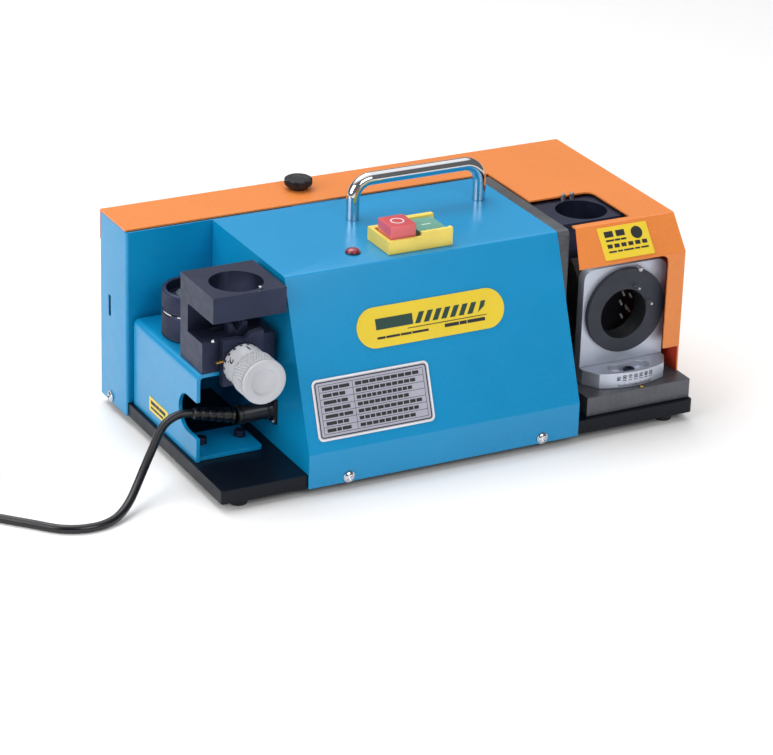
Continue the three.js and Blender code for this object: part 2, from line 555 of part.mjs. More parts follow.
add(gauge, 'locating_pin', turned('z', PIN.x, PIN.y, [
  [0, PIN.low], [PIN.radius, PIN.low], [PIN.radius, 175], [1.2, 175.6], [0, 175.6],
], 12), BRIGHT);

const SLIDE = { y0: 62.5, y1: 80, jaw: 71, top: 123.2, jawTop: 136 };
const jawShape = polygon([
  [34, SLIDE.top - 1], [52, SLIDE.top - 1], [52, SLIDE.jawTop], [48.5, SLIDE.jawTop],
  [GAUGE_BORE.x, SLIDE.jawTop - 8], [37.5, SLIDE.jawTop], [34, SLIDE.jawTop],
]);
add(gauge, 'gauge_slide', cut(
  join(
    box(POCKET.x0 + GAP, POCKET.x1 - GAP, SLIDE.y0, SLIDE.y1, POCKET.z0 + GAP, SLIDE.top),
    alongY(jawShape, SLIDE.y0, SLIDE.jaw),
  ),
  rod('y', KNOB.x, KNOB.z, 50, 90, 4.3, 20),
), BLACK_OXIDE);
const FRONT_PLATE = { x0: 24, x1: 62, y0: 51, y1: ARM.lowerFront - GAP };
const frontPlateShape = polygon([
  [FRONT_PLATE.x0, 84], [FRONT_PLATE.x1, 84], [FRONT_PLATE.x1, 131], [51, 129], [45.5, 124.5],
  [40, 126], [FRONT_PLATE.x0, 126],
]);
const screwBore = rod('y', KNOB.x, KNOB.z, 40, 70, 4.3, 20);
const frontPlate = alongY(frontPlateShape, FRONT_PLATE.y0, FRONT_PLATE.y1);
add(gauge, 'gauge_front_plate', cut(frontPlate, screwBore), BLACK_OXIDE);

const DIAL_FRONT = 30.5;
const RECESS = { radius: 11.2, floor: KNOB.face + 1.8, wall: 2.4 };
const knobProfile = [
  [0, RECESS.floor], [RECESS.radius, RECESS.floor], [RECESS.radius + 1.2, KNOB.face],
  [KNOB.radius - 1.2, KNOB.face], [KNOB.radius, KNOB.face + 1.4], [KNOB.radius, 28],
  [18.2, DIAL_FRONT - GAP], [4.3, DIAL_FRONT - GAP], [4.3, RECESS.floor + RECESS.wall],
  [0, RECESS.floor + RECESS.wall],
];
add(gauge, 'gauge_knob', turned('y', KNOB.x, KNOB.z, knobProfile, 40), WHITE);
const dialProfile = ring(4.3, 18.7, DIAL_FRONT, KNOB.back);
add(gauge, 'gauge_dial', turned('y', KNOB.x, KNOB.z, dialProfile, 40), WHITE);
add(gauge, 'gauge_screw', rod('y', KNOB.x, KNOB.z, RECESS.floor + RECESS.wall + GAP, 84, 4, 16), STEEL);
const pointerShape = polygon([[17.2, 107.4], [23.7, 107.6], [23.7, 109.4], [17.2, 108.2]]);
add(gauge, 'gauge_pointer', alongY(pointerShape, 49.5, 52.5), BRASS);

// The stored collet chuck hangs in the shelf by its lower ring.
const chuck = group();
chuck.position.set(STORED.x, STORED.y, SHELF.top + GAP);
add(chuck, 'chuck_body', turned('z', 0, 0, [
  [15, -36], [20, -36], [23.2, -33], [23.2, 0], [26.8, 0], [28, 1.2], [28, 22], [26.8, 23.2], [21, 23.2],
  [21, 34], [16, 34], [15, 20], [15, -36],
], 40), BLACK_OXIDE);
add(chuck, 'chuck_nut', turned('z', 0, 0, [
  [21.3, 24.6], [26.8, 24.6], [28, 25.8], [28, 42.2], [27, 43.3], [23.8, 43.3], [23.8, 35], [21.3, 35],
  [21.3, 24.6],
], 40), BLACK_OXIDE);
add(chuck, 'chuck_collet', turned('z', 0, 0, [
  [5, -20], [14.5, -20], [14.5, 20], [15.4, 34.5], [15.4, 38], [5, 38], [5, -20],
], 32), STEEL);

// ---------------------------------------------------------------- grinding ports on the right
const ports = group();
const THIN = { x0: 361, x1: 427, y0: 67.5, y1: 124, z0: 140, top: 174, x: 398.2, y: 94.1 };
const THIN_LEG = { x1: 372, y1: 104 };
const THIN_PINS = { left: [394.5, 120], right: [403.5, 120] };
add(ports, 'thinning_block', cut(
  join(
    box(THIN.x0, THIN.x1, THIN.y0, THIN.y1, THIN.z0, THIN.top),
    box(THIN.x0, THIN_LEG.x1, THIN.y0, THIN_LEG.y1, PLATE.top + GAP, THIN.top - 1),
  ),
  rod('z', THIN.x, THIN.y, 130, 180, CHUCK_BORE, 48),
  ...Object.values(THIN_PINS).map(([x, y]) => rod('z', x, y, 160, 180, 2.4, 12)),
), BLACK_OXIDE);
for (const [side, [x, y]] of Object.entries(THIN_PINS)) {
  const profile = [[0, 160.3], [2.1, 160.3], [2.1, 180], [1.5, 180.8], [0, 180.8]];
  add(ports, `thinning_pin_${side}`, turned('z', x, y, profile, 16), BRIGHT);
}

const ANGLE = { x0: 371, x1: 457.5, y0: 38, y1: 48, z0: PLATE.top + GAP, foot: 45.6, top: 139.4 };
const RING = { x: 413.8, z: 96.5, radius: 40, hub: 30.5, front: 33, back: 53 };
const RING_BORE = { x: 411.2, z: 93.6 };
const upright = filleted([
  [ANGLE.x0, ANGLE.z0], [ANGLE.x1, ANGLE.z0], [ANGLE.x1, ANGLE.top, 12], [ANGLE.x0, ANGLE.top, 12],
]);
const swingPoint = (radius, angle) => [
  SWING.x + radius * Math.sin(angle), SWING.y - radius * Math.cos(angle),
];
const FRONT_ARC = 0.414; // half angle of the foot's curved front, radians
const footShape = new THREE.Shape();
footShape.moveTo(ANGLE.x0, ANGLE.y1);
footShape.lineTo(ANGLE.x0, 33);
footShape.absarc(
  SWING.x, SWING.y, SWING.front, -Math.PI / 2 - FRONT_ARC, -Math.PI / 2 + FRONT_ARC, false,
);
footShape.lineTo(ANGLE.x1, 33);
footShape.lineTo(ANGLE.x1, ANGLE.y1);
const slotOutline = (half, arc) => {
  const { x, y, slot } = SWING;
  const quarter = Math.PI / 2;
  return new THREE.Shape()
    .absarc(x, y, slot + half, -quarter - arc, -quarter + arc, false)
    .absarc(...swingPoint(slot, arc), half, arc - quarter, arc + quarter, false)
    .absarc(x, y, slot - half, -quarter + arc, -quarter - arc, true)
    .absarc(...swingPoint(slot, -arc), half, quarter - arc, 3 * quarter - arc, false);
};
// The clamp screw passes a narrow slot and its head lies in a wider pocket over it.
const SLOT = { half: 3.6, arc: 0.17 };
const SCREW_POCKET = { half: 8, arc: 0.18, floor: 39.1 };
add(ports, 'angle_bracket', cut(
  join(
    alongY(upright, ANGLE.y0, ANGLE.y1),
    alongZ(footShape, ANGLE.z0, ANGLE.foot, 14),
  ),
  alongZ(slotOutline(SLOT.half, SLOT.arc), 20, 60, 8),
  alongZ(slotOutline(SCREW_POCKET.half, SCREW_POCKET.arc), SCREW_POCKET.floor, 60, 8),
  rod('y', RING.x, RING.z, 30, 60, RING.hub + GAP, 48),
), ALUMINIUM);

// Two dowel pins stand out of the ring's face, beside its bore, and line the chuck up.
const PORT_PINS = { upper: [421.6, 119], lower: [435.6, 102.2] };
const PIN_DEEP = RING.front + 4;
add(ports, 'port_ring', cut(
  join(
    rod('y', RING.x, RING.z, RING.front, ANGLE.y0 - GAP, RING.radius, 56),
    rod('y', RING.x, RING.z, RING.front + 1, RING.back, RING.hub, 48),
  ),
  rod('y', RING_BORE.x, RING_BORE.z, 20, 60, CHUCK_BORE, 48),
  ...Object.values(PORT_PINS).map(([x, z]) => rod('y', x, z, RING.front - 1, PIN_DEEP, 1.7, 12)),
), BLACK_OXIDE);
for (const [place, [x, z]] of Object.entries(PORT_PINS)) {
  const tip = RING.front - 8.4;
  const profile = [[0, tip], [0.8, tip], [1.4, tip + 0.6], [1.4, PIN_DEEP - GAP], [0, PIN_DEEP - GAP]];
  add(ports, `port_pin_${place}`, turned('y', x, z, profile, 12), BRIGHT);
}
const clampScrew = capScrew(SCREW_POCKET.floor + GAP, SCREW_POCKET.floor + 5, 5.2, 16);
add(ports, 'clamp_screw', clampScrew, BLACK_OXIDE).position.set(SWING.x, SWING.y - SWING.slot, 0);
const markShape = polygon([[416.4, 5.6], [419.6, 5.6], [418, 10.4]]);
add(ports, 'angle_pointer', alongZ(markShape, PLATE.top + GAP, PLATE.top + 1.5), BRASS);

// ---------------------------------------------------------------- mains lead
const lead = group();
const GLAND_END = 46;
add(lead, 'cable_gland', join(
  box(COVER.left - 3, COVER.left - GAP, GLAND.y - 10, GLAND.y + 10, GLAND.z - 11.5, GLAND.z + 11.5),
  rod('x', GLAND.y, GLAND.z, GLAND_END, 92, 8, 24),
), BLACK);
const TIP = new THREE.Vector3(8, 78.8, 51.2); // where the lead leaves its strain relief
const reliefStart = new THREE.Vector3(GLAND_END - 2.2, GLAND.y + 0.5, GLAND.z + 0.3);
const reliefLength = reliefStart.distanceTo(TIP);
const reliefWay = TIP.clone().sub(reliefStart).normalize();
const relief = add(lead, 'strain_relief', turned('y', 0, 0, [
  [0, 0], [7, 0], [6.6, 10], [4.9, reliefLength], [0, reliefLength],
], 20), BLACK);
relief.position.copy(reliefStart);
relief.quaternion.setFromUnitVectors(new THREE.Vector3(0, 1, 0), reliefWay);

const FLOOR = LOWEST + CORD_R; // centre of a lead that lies on the bench
// The lead drops from its strain relief, lands on the bench, turns and runs straight to its coil.
const LEAD_ROUTE = [
  [-1.2, 80.1, 51.5], [-10.1, 79.6, 49.7], [-18.1, 77.5, 46.2], [-24.6, 73.9, 41.1], [-32.4, 68, 33.2],
  [-40.4, 61.8, 25.2], [-49, 54.4, 17.2], [-58, 45.8, 9.8], [-67.4, 36.6, 3.6], [-77.6, 27.6, -0.8],
  [-89, 20, -3.4], [-101.4, 15.4, FLOOR], [-114, 14.4, FLOOR], [-126.6, 17.3, FLOOR],
  [-138.2, 23.5, FLOOR], [-155.7, 41.3, FLOOR], [-176.7, 62.7, FLOOR], [-197.7, 84.2, FLOOR],
  [-218.7, 105.6, FLOOR],
];
const leadStart = TIP.clone().addScaledVector(reliefWay, 2 * GAP);
const leadCurve = new THREE.CatmullRomCurve3(
  [leadStart, ...LEAD_ROUTE.map((point) => new THREE.Vector3(...point))], false, 'centripetal',
);
const leadSection = new THREE.Shape().absarc(0, 0, CORD_R, 0, Math.PI * 2);
add(lead, 'power_cord', new THREE.ExtrudeGeometry(leadSection, {
  extrudePath: leadCurve, steps: 24, curveSegments: 5, bevelEnabled: false,
}), BLACK);

// The rest of the lead is a round coil, two turns wide and three high.
const COIL = { x: -205, y: 161, radius: 44.8, wide: 2 * CORD_R, high: 6 * CORD_R };
const coilProfile = [
  [COIL.radius - COIL.wide, LOWEST], [COIL.radius + COIL.wide, LOWEST],
  [COIL.radius + COIL.wide, LOWEST + COIL.high], [COIL.radius - COIL.wide, LOWEST + COIL.high],
  [COIL.radius - COIL.wide, LOWEST],
];
add(lead, 'cord_coil', turned('z', COIL.x, COIL.y, coilProfile, 40), BLACK);

// The plug leaves the outer turn of the coil's top layer.
const PLUG = { x: COIL.x - COIL.radius - CORD_R, y: 192.5, z: LOWEST + 5 * CORD_R, radius: 18.5 };
const plugProfile = [
  [0, 0], [5, 0], [6.6, 22], [9, 25], [14, 34], [PLUG.radius, 39], [PLUG.radius, 62], [17.5, 63], [0, 63],
].map(([radius, place]) => [radius, PLUG.y + place]);
const plugPin = (side) => turned('y', PLUG.x + side * 9.5, PLUG.z, [
  [0, PLUG.y + 60], [2.4, PLUG.y + 60], [2.4, PLUG.y + 80.5], [1, PLUG.y + 82], [0, PLUG.y + 82],
], 12);
const plugBody = turned('y', PLUG.x, PLUG.z, plugProfile, 32);
add(lead, 'mains_plug', join(plugBody, plugPin(-1), plugPin(1)), BLACK);

export default machine;
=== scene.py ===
"""Drill bit sharpener: the visual model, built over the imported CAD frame."""
import json
import math

import bmesh
import bpy
from mathutils import Matrix, Vector


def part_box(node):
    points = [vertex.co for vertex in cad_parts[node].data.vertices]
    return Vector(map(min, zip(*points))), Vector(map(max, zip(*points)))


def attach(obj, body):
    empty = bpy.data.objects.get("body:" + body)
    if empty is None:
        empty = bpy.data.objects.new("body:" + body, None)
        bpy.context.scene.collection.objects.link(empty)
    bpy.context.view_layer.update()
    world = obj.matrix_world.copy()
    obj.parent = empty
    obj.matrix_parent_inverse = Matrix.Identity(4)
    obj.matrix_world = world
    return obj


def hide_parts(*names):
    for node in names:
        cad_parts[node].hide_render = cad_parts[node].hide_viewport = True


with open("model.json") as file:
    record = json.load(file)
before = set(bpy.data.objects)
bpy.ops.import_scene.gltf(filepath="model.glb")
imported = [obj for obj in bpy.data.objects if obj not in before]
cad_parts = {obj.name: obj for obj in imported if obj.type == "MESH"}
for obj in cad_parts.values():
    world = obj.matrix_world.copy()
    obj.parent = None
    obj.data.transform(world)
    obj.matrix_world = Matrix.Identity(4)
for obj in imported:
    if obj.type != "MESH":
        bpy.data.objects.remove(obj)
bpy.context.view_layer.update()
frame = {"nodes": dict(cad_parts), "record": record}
NODES = frame["nodes"]
BODY_OF = {n: b for b, names in frame["record"]["behaviour"]["bodies"].items() for n in names}
SLOT_OF = {s["node"]: s["material_slot"] for s in frame["record"]["subparts"]}
MM = 0.001

# The tray's front left bottom corner is where the machine's own dimensions start.
TRAY_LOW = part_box("base_tray")[0]
FLOOR_Z = 0.0


def at(x, y, z):
    """A point given in millimetres from the tray's front left bottom corner."""
    return TRAY_LOW + Vector((x, y, z)) * MM


def add_object(name, data):
    item = bpy.data.objects.new(name, data)
    bpy.context.scene.collection.objects.link(item)
    return item


def upright(node):
    """A frame at the middle of a node's underside, and the node's height in millimetres."""
    low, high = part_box(node)
    centre = (low + high) / 2
    return axis_place(Vector((centre.x, centre.y, low.z)), (0, 0, 1)), (high.z - low.z) / MM


def facing_front(node):
    """A frame at the back of a round node that looks forward, and the node's length and radius."""
    low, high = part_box(node)
    centre = (low + high) / 2
    place = axis_place(Vector((centre.x, high.y, centre.z)), (0, -1, 0))
    return place, (high.y - low.y) / MM, (high.x - low.x) / 2 / MM


# ---------------------------------------------------------------- camera, light and floor
CAMERA_PLACE = (-1039, -2214, 1211)
CAMERA_TURN = (28.32, 24.01, 1.87)  # degrees of yaw, pitch and roll
CAMERA_LENS = 150.05


def make_camera():
    yaw, pitch, roll = (math.radians(a) for a in CAMERA_TURN)
    forward = Vector((math.sin(yaw) * math.cos(pitch), math.cos(yaw) * math.cos(pitch), -math.sin(pitch)))
    right = forward.cross(Vector((0, 0, 1))).normalized()
    up = right.cross(forward)
    side = right * math.cos(roll) + up * math.sin(roll)
    top = up * math.cos(roll) - right * math.sin(roll)
    data = bpy.data.cameras.new("camera")
    data.sensor_width = 36
    data.lens = CAMERA_LENS
    camera = add_object("camera", data)
    turn = Matrix((side, top, -forward)).transposed().to_4x4()
    camera.matrix_world = Matrix.Translation(at(*CAMERA_PLACE)) @ turn
    bpy.context.scene.camera = camera


def area_light(name, place, target, size, power, color=(1, 1, 1)):
    data = bpy.data.lights.new(name, "AREA")
    data.shape = "RECTANGLE"
    data.size, data.size_y = size
    data.energy = power
    data.color = color
    light = add_object(name, data)
    light.location = place
    light.rotation_euler = (Vector(target) - Vector(place)).to_track_quat("-Z", "Y").to_euler()


def add_node(nodes, kind, **inputs):
    """A shader node with its inputs set. An underscore in a name stands for a space."""
    node = nodes.new("ShaderNode" + kind)
    for key, value in inputs.items():
        node.inputs[key.replace("_", " ")].default_value = value
    return node


def map_range(nodes, low, high, to_low, to_high):
    return add_node(nodes, "MapRange", From_Min=low, From_Max=high, To_Min=to_low, To_Max=to_high)


def make_world():
    """A white ceiling, a little behind the object, in a dim room: bright metal shows both."""
    world = bpy.data.worlds.new("studio")
    bpy.context.scene.world = world
    world.use_nodes = True
    nodes, links = world.node_tree.nodes, world.node_tree.links
    way = nodes.new("ShaderNodeTexCoord")
    towards = nodes.new("ShaderNodeVectorMath")
    towards.operation = "DOT_PRODUCT"
    towards.inputs[1].default_value = (0, 0.35, 0.94)
    ceiling = map_range(nodes, 0.66, 0.80, 0.16, 1.25)
    links.new(way.outputs["Generated"], towards.inputs[0])
    links.new(towards.outputs["Value"], ceiling.inputs["Value"])
    links.new(ceiling.outputs["Result"], nodes["Background"].inputs["Strength"])
    nodes["Background"].inputs["Color"].default_value = (1, 1, 1, 1)


def make_floor():
    half = 6.0
    mesh = bpy.data.meshes.new("studio_floor")
    corners = [(-half, -half, FLOOR_Z), (half, -half, FLOOR_Z), (half, half, FLOOR_Z), (-half, half, FLOOR_Z)]
    mesh.from_pydata(corners, [], [(0, 1, 2, 3)])
    floor = add_object("studio_floor", mesh)
    material = bpy.data.materials.new("studio_floor")
    material.use_nodes = True
    shader = material.node_tree.nodes["Principled BSDF"]
    shader.inputs["Base Color"].default_value = (0.93, 0.93, 0.93, 1)
    shader.inputs["Roughness"].default_value = 0.9
    floor.data.materials.append(material)


def make_studio():
    bpy.context.scene.view_settings.view_transform = "Standard"
    area_light("left_softbox", (-1.9, -0.2, 1.0), (0, 0, 0.08), (1.6, 1.2), 21)
    area_light("front_softbox", (0.2, -2.4, 1.7), (0, 0, 0.05), (1.8, 1.2), 30)
    area_light("top_softbox", (-0.2, 0.9, 2.0), (0, 0, 0.1), (1.6, 1.2), 19)
    make_world()
    make_floor()


# ---------------------------------------------------------------- materials
class Shader:
    """A Principled material with small helpers for its procedural nodes."""

    def __init__(self, name, color, roughness, metallic=0.0, **inputs):
        self.material = bpy.data.materials.new(name)
        self.material.use_nodes = True
        self.material.diffuse_color = (*color, 1)
        self.nodes = self.material.node_tree.nodes
        self.links = self.material.node_tree.links
        self.bsdf = self.nodes["Principled BSDF"]
        self.color = color
        self.roughness = roughness
        self.bsdf.inputs["Base Color"].default_value = (*color, 1)
        self.bsdf.inputs["Roughness"].default_value = roughness
        self.bsdf.inputs["Metallic"].default_value = metallic
        for key, value in inputs.items():
            self.bsdf.inputs[key.replace("_", " ").title()].default_value = value
        self.place = self.nodes.new("ShaderNodeTexCoord").outputs["Object"]
        self.normal = None

    def stretched(self, stretch):
        mapping = add_node(self.nodes, "Mapping", Scale=stretch)
        self.links.new(self.place, mapping.inputs["Vector"])
        return mapping.outputs["Vector"]

    def noise(self, scale, detail=2.0, stretch=(1, 1, 1)):
        node = add_node(self.nodes, "TexNoise", Scale=scale, Detail=detail)
        self.links.new(self.stretched(stretch), node.inputs["Vector"])
        return node.outputs["Fac"]

    def cells(self, scale, output="Distance"):
        node = add_node(self.nodes, "TexVoronoi", Scale=scale)
        self.links.new(self.place, node.inputs["Vector"])
        return node.outputs[output]

    def spread(self, fac, low, high, to_low, to_high):
        node = map_range(self.nodes, low, high, to_low, to_high)
        self.links.new(fac, node.inputs["Value"])
        return node.outputs["Result"]

    def vary_roughness(self, fac, amount):
        value = self.spread(fac, 0.3, 0.7, self.roughness - amount, self.roughness + amount)
        self.links.new(value, self.bsdf.inputs["Roughness"])
        return self

    def vary_color(self, fac, other, low=0.35, high=0.65):
        """Blends the colour towards another one where fac is high."""
        mix = self.nodes.new("ShaderNodeMix")
        mix.data_type = "RGBA"
        mix.inputs["A"].default_value = (*self.color, 1)
        mix.inputs["B"].default_value = (*other, 1)
        base = self.bsdf.inputs["Base Color"]
        if base.is_linked:
            self.links.new(base.links[0].from_socket, mix.inputs["A"])
        self.links.new(self.spread(fac, low, high, 0, 1), mix.inputs["Factor"])
        self.links.new(mix.outputs["Result"], base)
        return self

    def bump(self, fac, distance):
        node = add_node(self.nodes, "Bump", Distance=distance)
        self.links.new(fac, node.inputs["Height"])
        if self.normal:
            self.links.new(self.normal, node.inputs["Normal"])
        self.normal = node.outputs["Normal"]
        self.links.new(self.normal, self.bsdf.inputs["Normal"])
        return self


def shade(color, factor):
    return tuple(min(1.0, c * factor) for c in color)


def powder_coat(name, color, roughness=0.34, gloss=0.45):
    """Baked enamel: soft orange peel, faint clouding and a thin clear gloss."""
    s = Shader(name, color, roughness, coat_weight=gloss, coat_roughness=0.2)
    s.bsdf.inputs["Specular IOR Level"].default_value = 0.2
    s.vary_color(s.noise(9, 3), shade(color, 0.93))
    s.vary_color(s.noise(420, 2), shade(color, 1.05), 0.45, 0.8)
    s.vary_roughness(s.noise(60, 3), 0.05)
    s.bump(s.noise(520, 2), 0.00005).bump(s.noise(90, 1), 0.00006)
    return name, s.material


def milled_steel(name, color, roughness=0.42, grain=(1, 14, 14), metallic=0.85):
    """Plate steel with cutter marks along one way, dull patches and fine scratches."""
    s = Shader(name, color, roughness, metallic)
    s.vary_color(s.noise(14, 4), shade(color, 0.72))
    s.vary_color(s.noise(160, 3, grain), shade(color, 1.25), 0.5, 0.8)
    s.vary_roughness(s.noise(45, 4), 0.1)
    s.bump(s.noise(180, 3, grain), 0.00004)
    return name, s.material


def black_finish(name, color, roughness=0.4, metallic=0.45):
    """Black anodising: a cool even sheen with fine grain."""
    s = Shader(name, color, roughness, metallic)
    s.vary_color(s.noise(18, 3), shade(color, 1.35))
    s.vary_roughness(s.noise(120, 3), 0.06)
    s.bump(s.noise(900, 2), 0.00002)
    return name, s.material


def satin_metal(name, color, roughness=0.34, grain=(1, 1, 22), metallic=0.9):
    s = Shader(name, color, roughness, metallic)
    s.vary_color(s.noise(20, 3), shade(color, 0.86))
    s.vary_roughness(s.noise(110, 3, grain), 0.07)
    s.bump(s.noise(260, 2, grain), 0.00002)
    return name, s.material


def bright_chrome(name, color, roughness=0.06):
    s = Shader(name, color, roughness, 1.0)
    s.vary_roughness(s.noise(70, 3), 0.025)
    s.bump(s.noise(40, 1), 0.00001)
    return name, s.material


def moulded(name, color, roughness=0.4, grain=0.00003, **inputs):
    """Moulded plastic or rubber with a fine surface grain and handling marks."""
    s = Shader(name, color, roughness, **inputs)
    s.vary_color(s.noise(30, 3), shade(color, 0.88))
    s.vary_roughness(s.noise(80, 4), 0.07)
    s.bump(s.noise(1100, 2), grain)
    return name, s.material


def printed(name, color, roughness=0.35, metallic=0.0):
    s = Shader(name, color, roughness, metallic, coat_weight=0.3, coat_roughness=0.15)
    s.vary_color(s.noise(16, 3), shade(color, 0.94))
    s.vary_roughness(s.noise(50, 3), 0.05)
    s.bump(s.noise(300, 1), 0.00001)
    return name, s.material


def bonded_grit(name):
    s = Shader(name, (0.055, 0.05, 0.045), 0.9)
    s.vary_color(s.cells(2200, "Color"), (0.13, 0.12, 0.10), 0.2, 0.9)
    s.vary_color(s.noise(60, 4), (0.025, 0.022, 0.02), 0.5, 0.75)
    s.bump(s.cells(2000), 0.0003).bump(s.noise(900, 3), 0.0001)
    return name, s.material


def make_materials():
    """Every look by its name."""
    return dict([
        powder_coat("blue_paint", (0.002, 0.272, 0.560), 0.34, 0.5),
        powder_coat("orange_paint", (0.80, 0.245, 0.055), 0.36, 0.4),
        # painted shade: a deeper red for the hood's inner faces
        powder_coat("orange_painted_shade", (0.55, 0.05, 0.02), 0.5, 0.1),
        powder_coat("tray_paint", (0.004, 0.006, 0.012), 0.34, 0.0),
        milled_steel("frame_steel", (0.12, 0.13, 0.145), metallic=0.6),
        milled_steel("ground_steel", (0.22, 0.22, 0.235), 0.34, (20, 1, 1)),
        milled_steel("plate_steel", (0.125, 0.130, 0.148), 0.42, (20, 1, 1), 0.5),
        bright_chrome("bright_metal", (0.66, 0.67, 0.70)),
        # painted highlight: pale pins that stand for glints behind the port's bore
        satin_metal("painted_glint_white", (0.85, 0.85, 0.87), 0.35, metallic=0.3),
        satin_metal("pin_steel", (0.46, 0.46, 0.50), 0.3, metallic=0.8),
        black_finish("black_oxide", (0.025, 0.031, 0.062), 0.42, 0.75),
        black_finish("ring_oxide", (0.022, 0.025, 0.038), 0.5, 0.3),
        satin_metal("bracket_aluminium", (0.58, 0.62, 0.72), 0.42, metallic=0.6),
        printed("plate_aluminium", (0.50, 0.50, 0.60), 0.4, 0.4),
        satin_metal("dial_white", (0.56, 0.57, 0.61), 0.55, metallic=0.25),
        satin_metal("brass", (0.62, 0.36, 0.08), 0.28),
        powder_coat("motor_iron", (0.05, 0.055, 0.06), 0.55),
        satin_metal("motor_aluminium", (0.42, 0.43, 0.45), 0.5),
        bonded_grit("abrasive"),
        moulded("foot_rubber", (0.012, 0.012, 0.013), 0.75, 0.00006),
        moulded("lead_rubber", (0.005, 0.005, 0.008), 0.3),
        moulded("black_plastic", (0.010, 0.010, 0.013), 0.38),
        moulded("yellow_plastic", (0.93, 0.72, 0.13), 0.34),
        printed("yellow_label", (0.86, 0.63, 0.03), 0.4),
        moulded(
            "red_plastic", (0.70, 0.10, 0.12), 0.16,
            subsurface_weight=0.3, coat_weight=0.6, coat_roughness=0.08,
        ),
        moulded("green_plastic", (0.14, 0.37, 0.28), 0.3),
        moulded("lamp_red", (0.26, 0.004, 0.03), 0.12, coat_weight=0.6, coat_roughness=0.06),
        moulded("ink", (0.012, 0.014, 0.016), 0.5),
        moulded("white_ink", (0.85, 0.85, 0.86), 0.45),
        moulded("green_ink", (0.010, 0.05, 0.035), 0.45),
    ])


# ---------------------------------------------------------------- pieces
def new_piece(name, vertices, faces, material, body, smooth=30):
    mesh = bpy.data.meshes.new(name)
    mesh.from_pydata([tuple(v) for v in vertices], [], faces)
    return settle(name, mesh, material, body, smooth=smooth)


def settle(name, mesh, material, body, smooth=30):
    """Closes a mesh's normals, gives it its material and lets it ride on its body."""
    work = bmesh.new()
    work.from_mesh(mesh)
    bmesh.ops.remove_doubles(work, verts=work.verts, dist=1e-7)
    bmesh.ops.recalc_face_normals(work, faces=work.faces)
    work.to_mesh(mesh)
    work.free()
    for polygon in mesh.polygons:
        polygon.use_smooth = bool(smooth)
    if smooth:
        mesh.set_sharp_from_angle(angle=math.radians(smooth))
    mesh.materials.clear()
    mesh.materials.append(MATERIALS[material])
    piece = add_object(name, mesh)
    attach(piece, body)
    return piece


def soften(piece, width, segments=2, angle=32):
    """Rounds the sharp edges the way the real piece is deburred or bent."""
    bevel = piece.modifiers.new("edges", "BEVEL")
    bevel.width = width * MM
    bevel.segments = segments
    bevel.limit_method = "ANGLE"
    bevel.angle_limit = math.radians(angle)
    bevel.harden_normals = True
    bevel.use_clamp_overlap = True
    return piece


def refined(node, width, segments=2, angle=32, material=None):
    """A copy of a CAD node with flat faces merged and its edges rounded."""
    mesh = NODES[node].data.copy()
    work = bmesh.new()
    work.from_mesh(mesh)
    bmesh.ops.remove_doubles(work, verts=work.verts, dist=1e-6)
    bmesh.ops.dissolve_limit(
        work, angle_limit=math.radians(0.6), verts=work.verts, edges=work.edges, delimit={"NORMAL"}
    )
    work.to_mesh(mesh)
    work.free()
    piece = settle(node + "_shell", mesh, material or SLOT_OF[node], BODY_OF[node])
    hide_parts(node)
    return soften(piece, width, segments, angle)


def stands_for(piece, node):
    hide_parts(node)
    return piece


def turned(name, profile, sides, place, material, body, knurl=None, smooth=30):
    """Turns (radius, height) pairs about local Z. knurl(angle, height) gives a radius change."""
    vertices, faces = [], []
    rows = []
    for radius, height in profile:
        if radius < 1e-6:
            rows.append([len(vertices)] * sides)
            vertices.append(place @ Vector((0, 0, height * MM)))
            continue
        row = []
        for i in range(sides):
            angle = 2 * math.pi * i / sides
            r = (radius + (knurl(angle, height) if knurl else 0)) * MM
            row.append(len(vertices))
            vertices.append(place @ Vector((r * math.cos(angle), r * math.sin(angle), height * MM)))
        rows.append(row)
    for low, high in zip(rows, rows[1:]):
        for i in range(sides):
            j = (i + 1) % sides
            corners = [low[i], low[j], high[j], high[i]]
            kept = [c for k, c in enumerate(corners) if c not in corners[:k]]
            if len(kept) > 2:
                faces.append(kept)
    return new_piece(name, vertices, faces, material, body, smooth=smooth)


def axis_place(centre, direction, spin=0.0):
    """A frame at centre whose local Z points along direction."""
    turn = Vector(direction).to_track_quat("Z", "Y").to_matrix().to_4x4()
    return Matrix.Translation(centre) @ turn @ Matrix.Rotation(spin, 4, "Z")


def band(radius, low, high, step):
    """Rows of one radius, close enough together to carry a knurl."""
    count = max(2, round((high - low) / step))
    return [(radius, low + (high - low) * i / count) for i in range(count + 1)]


def diamond_knurl(teeth, depth, low, high, pitch):
    def change(angle, height):
        if not low < height < high:
            return 0
        a = math.sin(teeth * angle / 2 + math.pi * height / pitch)
        b = math.sin(teeth * angle / 2 - math.pi * height / pitch)
        return -depth * (1 - abs(a) * abs(b))

    return change


def straight_knurl(teeth, depth, low, high):
    def change(angle, height):
        return -depth * (0.5 - 0.5 * math.cos(teeth * angle)) if low <= height <= high else 0

    return change


def tube(name, points, radius, sides, material, body):
    """A round bar swept along points, with closed ends."""
    vertices, faces = [], []
    way = (points[1] - points[0]).normalized()
    side = way.orthogonal().normalized()
    for i, point in enumerate(points):
        after = points[min(i + 1, len(points) - 1)]
        before = points[max(i - 1, 0)]
        turn = way.rotation_difference((after - before).normalized())
        way = (after - before).normalized()
        side = (turn @ side).normalized()
        across = way.cross(side)
        r = radius * MM
        for k in range(sides):
            angle = 2 * math.pi * k / sides
            vertices.append(point + side * (r * math.cos(angle)) + across * (r * math.sin(angle)))
    for i in range(len(points) - 1):
        for k in range(sides):
            n = (k + 1) % sides
            faces.append([i * sides + k, i * sides + n, (i + 1) * sides + n, (i + 1) * sides + k])
    faces.append(list(range(sides))[::-1])
    faces.append([len(vertices) - sides + k for k in range(sides)])
    return new_piece(name, vertices, faces, material, body)


